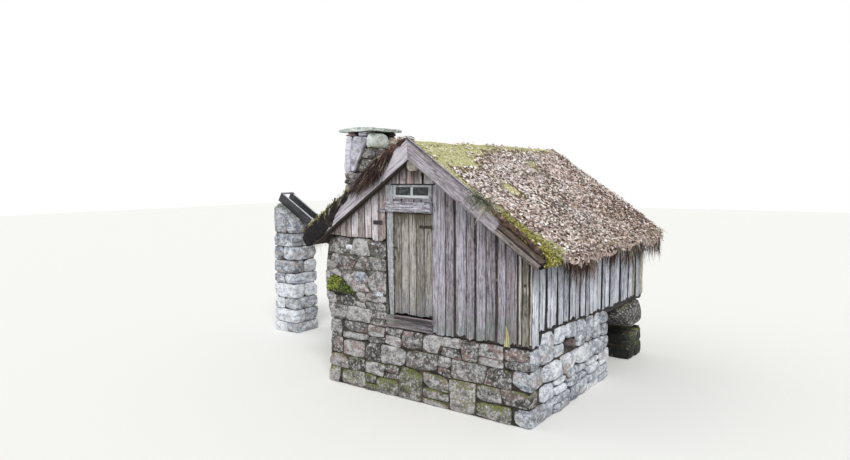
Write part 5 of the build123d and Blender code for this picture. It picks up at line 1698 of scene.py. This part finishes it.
def hang_roots():
    """Roots and dead grass that hang in locks from the eaves and in a great bundle over the left barge."""
    rng = default_rng(149)
    for side, name, locks, finish in ((1, "right", 380, ROOTS), (-1, "left", 230, DARK_ROOTS)):
        pile = Pile(rng)
        for y in rng.uniform(-0.14 if side > 0 else ROOF_FRONT + 0.03, BACK - 0.03, locks):
            mark = rng.choice(3, p=(0.44, 0.22, 0.34))
            high = mark < 2 and rng.random() < 0.26
            back = rng.uniform(0.04, 0.16) if high else rng.uniform(0, 0.07)
            start = on_slope(side, EAVE_RUN[side] + 0.045 - back, y, 0.23 if high else rng.uniform(0.13, 0.2))
            group = max(0, float(lumps((0.0, y, 0.0), 0.16, 7)) + 0.5 * float(lumps((0.0, y, 0.0), 0.5, 8)))
            # They hang in uneven groups, which get thin towards the back
            reach = (0.03 + 0.08 * rng.random() + 0.24 * group + 0.5 * back) * np.interp(y, (2.6, 4.2),
                (1.0, 0.62))
            way = (side * (0.55 if high else rng.uniform(-0.15, 0.15)), rng.normal(0, 0.18),
                -0.5 if high else rng.uniform(-1.0, -0.4))
            reach = min(reach * (1.5 if mark == 2 else 0.9), 0.2 if high else 0.28)
            hang_lock(pile, start, way, reach, rng.integers(7, 12) if mark == 2 else rng.integers(4, 8),
                sag=0.9, mark=mark, thick=(0.0022, 0.0075), shades=(0.0, 0.75) if mark == 2 else (0.1, 1.0))
        # Reddish twigs that the wind left on the back of the right slope
        for _ in range(36 if side > 0 else 0):
            run, y = (1.95, 3.5) if rng.random() < 0.6 else (2.45, 3.7)
            start = on_slope(side, run + rng.normal(0, 0.11), y + rng.normal(0, 0.2), 0.262)
            hang_lock(pile, start, (rng.normal(0, 0.7), rng.normal(0, 0.7), rng.uniform(0.0, 0.5)), 0.13, 6,
                mark=2, sag=0.3, shades=(0.45, 0.8))
        pile.make("eave_roots_" + name, [finish, PALE_GRASS, DARK_ROOTS], slot="turf", crease=180)

    bundle = Pile(rng)
    for locks, mark, runs, reaches, lean, sag, shades, thick in ((150, 0, (0.16, 0.86), (0.26, 0.5), -0.62,
            0.16, (0.0, 0.42), (0.002, 0.006)), (34, 0, (0.2, 0.8), (0.28, 0.48), -0.62, 0.16, (0.5, 0.95),
            (0.003, 0.006)), (14, 1, (0.2, 0.8), (0.2, 0.4), -0.5, 0.2, (0.1, 0.9), (0.002, 0.004)),
            (80, 0, (1.1, 2.5), (0.04, 0.15), -0.2, 0.5, (0.0, 0.6), (0.002, 0.005)),
            (36, 1, (1.1, 2.3), (0.04, 0.15), -0.2, 0.5, (0.0, 0.9), (0.002, 0.004))):
        for run in runs[0] + (runs[1] - runs[0]) * rng.beta(1.3, 1.3, locks):
            start = on_slope(-1, run, rng.uniform(-0.58, -0.5), rng.uniform(0.21, 0.31))
            way = (rng.normal(lean, 0.13), rng.uniform(-0.22, -0.02), rng.uniform(-1.0, -0.65))
            hang_lock(bundle, start, way, rng.uniform(*reaches), rng.integers(4, 10), mark=mark, sag=sag,
                shades=shades, y_range=(-0.7, -0.54), thick=thick)
    # A heap of straw and twigs lies on top of it, up to the ridge
    for _ in range(150):
        run = rng.uniform(-0.14, 0.95)
        start = on_slope(-1, run, rng.uniform(-0.55, -0.25), rng.uniform(0.25, 0.32))
        way = (rng.normal(-0.5, 0.5), rng.normal(-0.3, 0.4), rng.uniform(-0.1, 0.7))
        hang_lock(bundle, start, way, rng.uniform(0.09, 0.22), rng.integers(4, 10),
            mark=int(rng.random() < 0.4), sag=0.35, shades=(0.25, 1.0), y_range=(-0.69, -0.2),
            thick=(0.002, 0.006))
    bundle.make("left_verge_roots", [DARK_ROOTS, PALE_GRASS], slot="turf", crease=180)

    slump = Pile(rng)
    # A reddish brow at the ridge, and a black mat over the left barge's foot, its lower end painted darker
    # for the shade it lies in
    slumped_edge(slump, -1, -0.15, 2.6, lows=((-0.15, 0.8, 1.2, 1.45, 1.75, 1.92, 2.56, 2.6),
        (0.232, 0.225, 0.19, 0.155, 0.09, -0.03, -0.036, 0.0)), highs=((-0.15, 0.0, 0.8, 0.95, 2.35, 2.6),
        (0.245, 0.315, 0.3, 0.262, 0.258, 0.19)), bulks=((-0.15, 1.0, 2.0, 2.5, 2.58, 2.6),
        (0.012, 0.025, 0.04, 0.056, 0.04, 0.018)),
        looks=((0.0, 0.8, 1.2, 1.95, 2.25), (0.44, 0.44, 0.44, 0.38, 0.04), (1, 1, 0.1, 0, 0)))
    # Brown turf over the upper strip of the right barge's foot
    slumped_edge(slump, 1, 1.36, 2.63,
        lows=((1.36, 1.6, 1.85, 2.2, 2.5, 2.63), (0.235, 0.212, 0.19, 0.186, 0.195, 0.215)),
        highs=((1.36, 1.5, 2.5, 2.63), (0.238, 0.262, 0.262, 0.215)),
        bulks=((1.36, 1.8, 2.4, 2.63), (0.008, 0.022, 0.028, 0.01)),
        looks=((1.36, 2.6), (0.54, 0.48), (0.6, 0.45)), ragged=0.026)
    slump.make("slumped_turf_edge", [SLUMPED_TURF], slot="turf", crease=80)


def slumped_edge(pile, side, start, end, lows, highs, bulks, looks, ragged=0.016):
    """Turf that has slumped over a bargeboard from its top edge.

    Along the board's run, lows and highs give its edges above the roof boards' underside, bulks its thickness
    and looks its shade and warmth."""
    rings = []
    for run in np.linspace(start, end, int((end - start) * 44)):
        low, high, bulk = (np.interp(run, *line) for line in (lows, highs, bulks))
        inner = np.interp(run, (0.7, 1.0), (-0.38, -0.5))
        low += ragged * float(lumps((run, 0.0, side - 1.0), 0.1, 4) + 0.7 * lumps((run, 0.0, 0.0), 0.03, 4))
        ring = [(-0.537 - bulk * sin(turn) ** 0.7, (high + low) / 2 + (high - low) / 2 * cos(turn))
            for turn in np.linspace(0, pi, 11)]
        foot = min(low + 0.03, 0.2)
        ring += [(inner, foot), (inner, (high + foot) / 2), (inner, high - 0.03)]
        rings.append([on_slope(side, run, y, lift) for y, lift in ring])
    rings = np.array(rings)
    push = 0.012 * lumps(rings, 0.08, 3) + 0.012 * lumps(rings, 0.035, 4)
    rings[..., 1] -= np.where(rings[..., 1] < -0.536, np.abs(push) * 1.3, 0)
    rings[..., 2] += 0.6 * push
    points, quads, tris = closed_tube(rings)
    down = np.abs(points[:, 0]) / cos(PITCH[side])
    shade = np.interp(down, looks[0], looks[1]) + 0.25 * lumps(points, 0.05, 5) + 0.25 * lumps(points, 0.02,
        6)
    pile.add(points, quads, tris, tone=toned(shade, np.interp(down, looks[0], looks[2])))


def grow_grass():
    """Grass and small tufts on the turf and along its edges."""
    rng = default_rng(158)
    pale = Pile(rng)
    green = Pile(rng)
    for side, count in ((1, 900), (-1, 600)):
        run, y, spots, normals = turf_spots(pale, side, count, -0.05)
        total = len(run)
        downhill = np.array([side * cos(PITCH[side]), 0, -sin(PITCH[side])])
        ways = unit(normals * rng.uniform(0.1, 0.6, total)[:, None] + downhill * rng.uniform(0.2, 0.9,
            total)[:, None] + rng.normal(0, 0.4, (total, 3)))
        length = rng.uniform(0.05, 0.14, total)
        strands(pale, hanging(spots, ways, length, rng, 0.35), rng.uniform(0.0012, 0.0028, total),
            tones_of(rng, total))
    # Tufts by their middle (run, y), spread, number of blades, lift of the blades, colour and side
    tufts = [(1.39, -0.48, 0.1, 0.03, 220, 0.1, pale, 1), (0.9, -0.49, 0.5, 0.02, 130, 0.1, pale, 1),
        (2.55, 1.9, 0.1, 0.5, 220, 0.3, pale, 1), (2.62, 3.9, 0.06, 0.4, 200, 0.3, pale, 1),
        (0.2, -0.48, 0.25, 0.03, 80, 0.5, pale, 1), (2.0, 3.7, 0.1, 0.2, 130, 0.5, pale, 1),
        (1.7, 1.58, 0.1, 0.1, 480, 1.0, green, 1), (1.44, -0.47, 0.09, 0.03, 230, 0.2, green, 1),
        (1.9, -0.45, 0.3, 0.04, 160, 0.3, green, 1), (2.62, -0.38, 0.03, 0.07, 110, 0.1, green, 1),
        (0.5, -0.49, 0.3, 0.02, 160, 0.3, pale, -1), (1.6, -0.5, 0.5, 0.02, 160, 0.2, green, -1)]
    for centre_run, centre_y, spread_run, spread_y, count, rise, pile, side in tufts:
        run = np.clip(rng.normal(centre_run, spread_run, count), 0, EAVE_RUN[side] + 0.02)
        y = np.clip(rng.normal(centre_y, spread_y, count), -0.53, BACK - 0.02)
        ways = unit(xyz(side * rng.normal(0.25, 0.4, count), rng.normal(-0.12, 0.4, count),
            rng.uniform(-0.1, 1.0, count) * rise))
        length = rng.uniform(0.06, 0.17, count)
        strands(pile, hanging(on_slope(side, run, y, 0.24), ways, length, rng, 0.7),
            rng.uniform(0.0014, 0.003, count), tones_of(rng, count))
    # Long blades that hang over the right bargeboard's joint, dark ones over pale ones
    for _ in range(52):
        start = on_slope(1, rng.normal(1.42, 0.12), rng.uniform(-0.55, -0.47), rng.uniform(0.235, 0.27))
        way = (rng.normal(0.1, 0.35), rng.uniform(-0.35, -0.05), rng.uniform(-0.2, 0.6))
        dark = rng.random() < 0.6
        hang_lock(green if dark else pale, start, way, rng.uniform(0.14, 0.31), rng.integers(5, 9), sag=0.9,
            shades=(0.0, 0.6) if dark else (0.3, 1.0), y_range=(-0.66, -0.3))
    pale.make("bleached_grass", [PALE_GRASS], slot="turf", crease=180)
    green.make("green_grass_tufts", [GREEN_GRASS], slot="turf", crease=180)


def build_barges():
    rng = default_rng(167)
    y_out = ROOF_FRONT - 0.03

    def along_slope(side, y_face, inward):
        return lambda a, s, d: on_slope(side, s, y_face + inward * d, a)

    ridge_end = {side: (lambda a, side=side: -a * tan(PITCH[side]) + 0.001) for side in (-1, 1)}
    left = Pile(rng)
    board(left, along_slope(-1, y_out, 1), -0.019, TURF_LIFT, ridge_end[-1], EAVE_RUN[-1], 0.029, wane=0.004,
        cols=8, rag_head=0.03, tone=(1.75, 0.0), soot=0.3, cup=0.002, grime=0.4)
    left.make("bargeboard_front_left", [BARGE_WOOD], "barge_front_left")

    right = Pile(rng)
    split = EAVE_RUN[1] - 0.83
    board(right, along_slope(1, y_out, 1), -0.019, TURF_LIFT, ridge_end[1], split, 0.029, wane=0.003, cols=8,
        tone=(0.5, 0.3), cup=0.002, rag_head=0.01, grime=0.5)
    for index, tone in ((0, (0.75, 0.3)), (1, (0.25, 0.8))):
        low = -0.019 + index * 0.102
        board(right, along_slope(1, y_out, 1), low, low + 0.097, split + 0.001, EAVE_RUN[1], 0.029,
            wane=0.004, cols=5, rag_head=0.05, tone=tone, mark=1)
    right.make("bargeboard_front_right", [BARGE_WOOD, FOOT_WOOD], "barge_front_right")

    back = Pile(rng)
    caps = Pile(rng)
    for side in (-1, 1):
        board(back, along_slope(side, BACK + 0.03, -1), -0.019, TURF_LIFT, ridge_end[side], EAVE_RUN[side],
            0.029, wane=0.004, cols=7, rag_head=0.03, cup=0.002)
        cap = lambda a, s, d, side=side: on_slope(side, s, a, TURF_LIFT + 0.018 - d)
        board(caps, cap, -0.551, -0.506, lambda a, side=side: -0.25 * tan(PITCH[side]), 1.15, 0.017,
            wane=0.003, cols=4, rag_head=0.06, tone=(0.9, 0.3))
    back.make("bargeboards_back", [BARGE_WOOD], "barges_back")
    caps.make("bargeboard_caps", [FRONT_WOOD], "barge_caps")


# Flume
def build_flume():
    rng = default_rng(173)
    length = (CELLAR[0] + 0.1 - FLUME_START) / cos(FLUME_SLOPE)
    origin = np.array([FLUME_START, FLUME_Y, flume_line(FLUME_START)])
    frame_ways = np.array([(cos(FLUME_SLOPE), 0, -sin(FLUME_SLOPE)), (0, 1, 0),
        (sin(FLUME_SLOPE), 0, cos(FLUME_SLOPE))])

    def spot(along, across, lift):
        """A place in the sloping trough."""
        down, out, up = frame_ways
        along, across, lift = np.broadcast_arrays(along, across, lift)
        return origin + along[..., None] * down + across[..., None] * out + lift[..., None] * up

    cuts = np.linspace(0, length, 4)
    reaches = [(lo + 0.001, hi - 0.001) for lo, hi in zip(cuts[:-1], cuts[1:])]
    floor = Pile(rng)
    for reach in reaches:
        for a, b in ((-0.131, -0.001), (0.001, 0.131)):
            board(floor, lambda x, s, d: spot(s, x, -0.082 - d), a, b, *reach, 0.0275, wane=0.001, cols=4,
                cup=0.001)
    floor.make("flume_bed_boards", [WET_WOOD], "flume_floor")

    sides = Pile(rng)
    trim = Pile(rng)
    for sign in (-1, 1):
        for reach in reaches:
            board(sides, lambda x, s, d: spot(s, sign * (0.16 - d), x), -0.11, 0.11, *reach, 0.0275,
                wane=0.003, cols=7, cup=0.002, step=0.1)
    sides.make("flume_side_boards", [WET_WOOD], "flume_sides")

    for sign in (-1, 1):
        board(trim, lambda x, s, d: spot(s, sign * (0.16 + x), 0.1145 - d), -0.034, 0.008, 0.02, length - 0.9,
            0.01, wane=0.004, cols=4, cup=0, tone=(0.9, 0.2), grime=0.2, mark=1)
        for cut in cuts[1:-1]:
            board(trim, lambda x, s, d: spot(x, sign * (0.175 - d), s), cut - 0.035, cut + 0.035, -0.112,
                0.104, 0.014, wane=0.002, cols=4, tone=(0.4, 0.4))
    for cut in (0.06, *cuts[1:-1]):
        board(trim, lambda x, s, d: spot(x, s, 0.13 - d), cut - 0.03, cut + 0.03, -0.165, 0.165, 0.018,
            wane=0.002, cols=4, tone=(0.8, 0.4))
    trim.make("flume_edges_and_ties", [FRONT_WOOD, PALE_WOOD], slot="wet_board")


lay_foundation()
lay_pier()
lay_stone_walls()
lay_chimney()
lay_flume_pier()
build_frame()
board_the_front()
board_the_sides()
build_window()
build_door()
lay_roof_boards()
lay_turf()
strew_leaves()
grow_moss()
hang_roots()
grow_grass()
build_barges()
build_flume()


# Stage, light and camera
def set_stage():
    """A plain pale floor and a white surrounding that lights the mill evenly."""
    mesh = bpy.data.meshes.new("studio_floor")
    far = 60.0
    mesh.from_pydata([(-far, -far, 0), (far, -far, 0), (far, far, 0), (-far, far, 0)], [], [(0, 1, 2, 3)])
    floor = bpy.data.objects.new("studio_floor", mesh)
    bpy.context.scene.collection.objects.link(floor)
    made = bpy.data.materials.new("pale_studio_floor")
    made.use_nodes = True
    surface = made.node_tree.nodes["Principled BSDF"]
    surface.inputs["Base Color"].default_value = linear("#ededea")
    surface.inputs["Roughness"].default_value = 0.9
    surface.inputs["Specular IOR Level"].default_value = 0.1
    mesh.materials.append(made)

    world = bpy.data.worlds.new("studio_air")
    bpy.context.scene.world = world
    world.use_nodes = True
    tree = world.node_tree
    node = partial(add_node, tree)
    seen, mirrored, passed = node("LightPath", out=slice(0, 7, 3))
    plain = node("Math.MAXIMUM", seen, mirrored)
    plain = node("Math.MAXIMUM", plain, passed)
    strength = node("Mix", plain, AIR_LIGHT, 1.0)
    tree.nodes["Background"].inputs["Color"].default_value = (1, 1, 1, 1)
    tree.links.new(strength, tree.nodes["Background"].inputs["Strength"])

    for name, aim, power, spread in (("key_light", (-0.55, 0.62, -0.85), 2.0, 24),
            ("fill_light", (0.75, 0.3, -0.6), 0.5, 60)):
        lamp = bpy.data.lights.new(name, "SUN")
        lamp.energy = power
        lamp.angle = radians(spread)
        held = bpy.data.objects.new(name, lamp)
        bpy.context.scene.collection.objects.link(held)
        way = unit(aim)
        held.rotation_euler = (acos(-way[2]), 0, atan2(way[1], way[0]) - pi / 2)


def set_camera():
    """The photograph's own place, height and lens."""
    lens = bpy.data.cameras.new("photo_lens")
    lens.lens = 27.18
    lens.sensor_width = 36.0
    camera = bpy.data.objects.new("photo_camera", lens)
    bpy.context.scene.collection.objects.link(camera)
    camera.location = (5.855, -8.14, 3.529)
    yaw, down, roll = (radians(angle) for angle in (36.03, 4.87, -0.29))
    turn = Euler((pi / 2 - down, 0, yaw), "XYZ").to_quaternion()
    camera.rotation_mode = "QUATERNION"
    camera.rotation_quaternion = turn @ Quaternion((0, 0, 1), roll)
    bpy.context.scene.camera = camera


set_stage()
set_camera()
bpy.context.scene.view_settings.view_transform = "Standard"
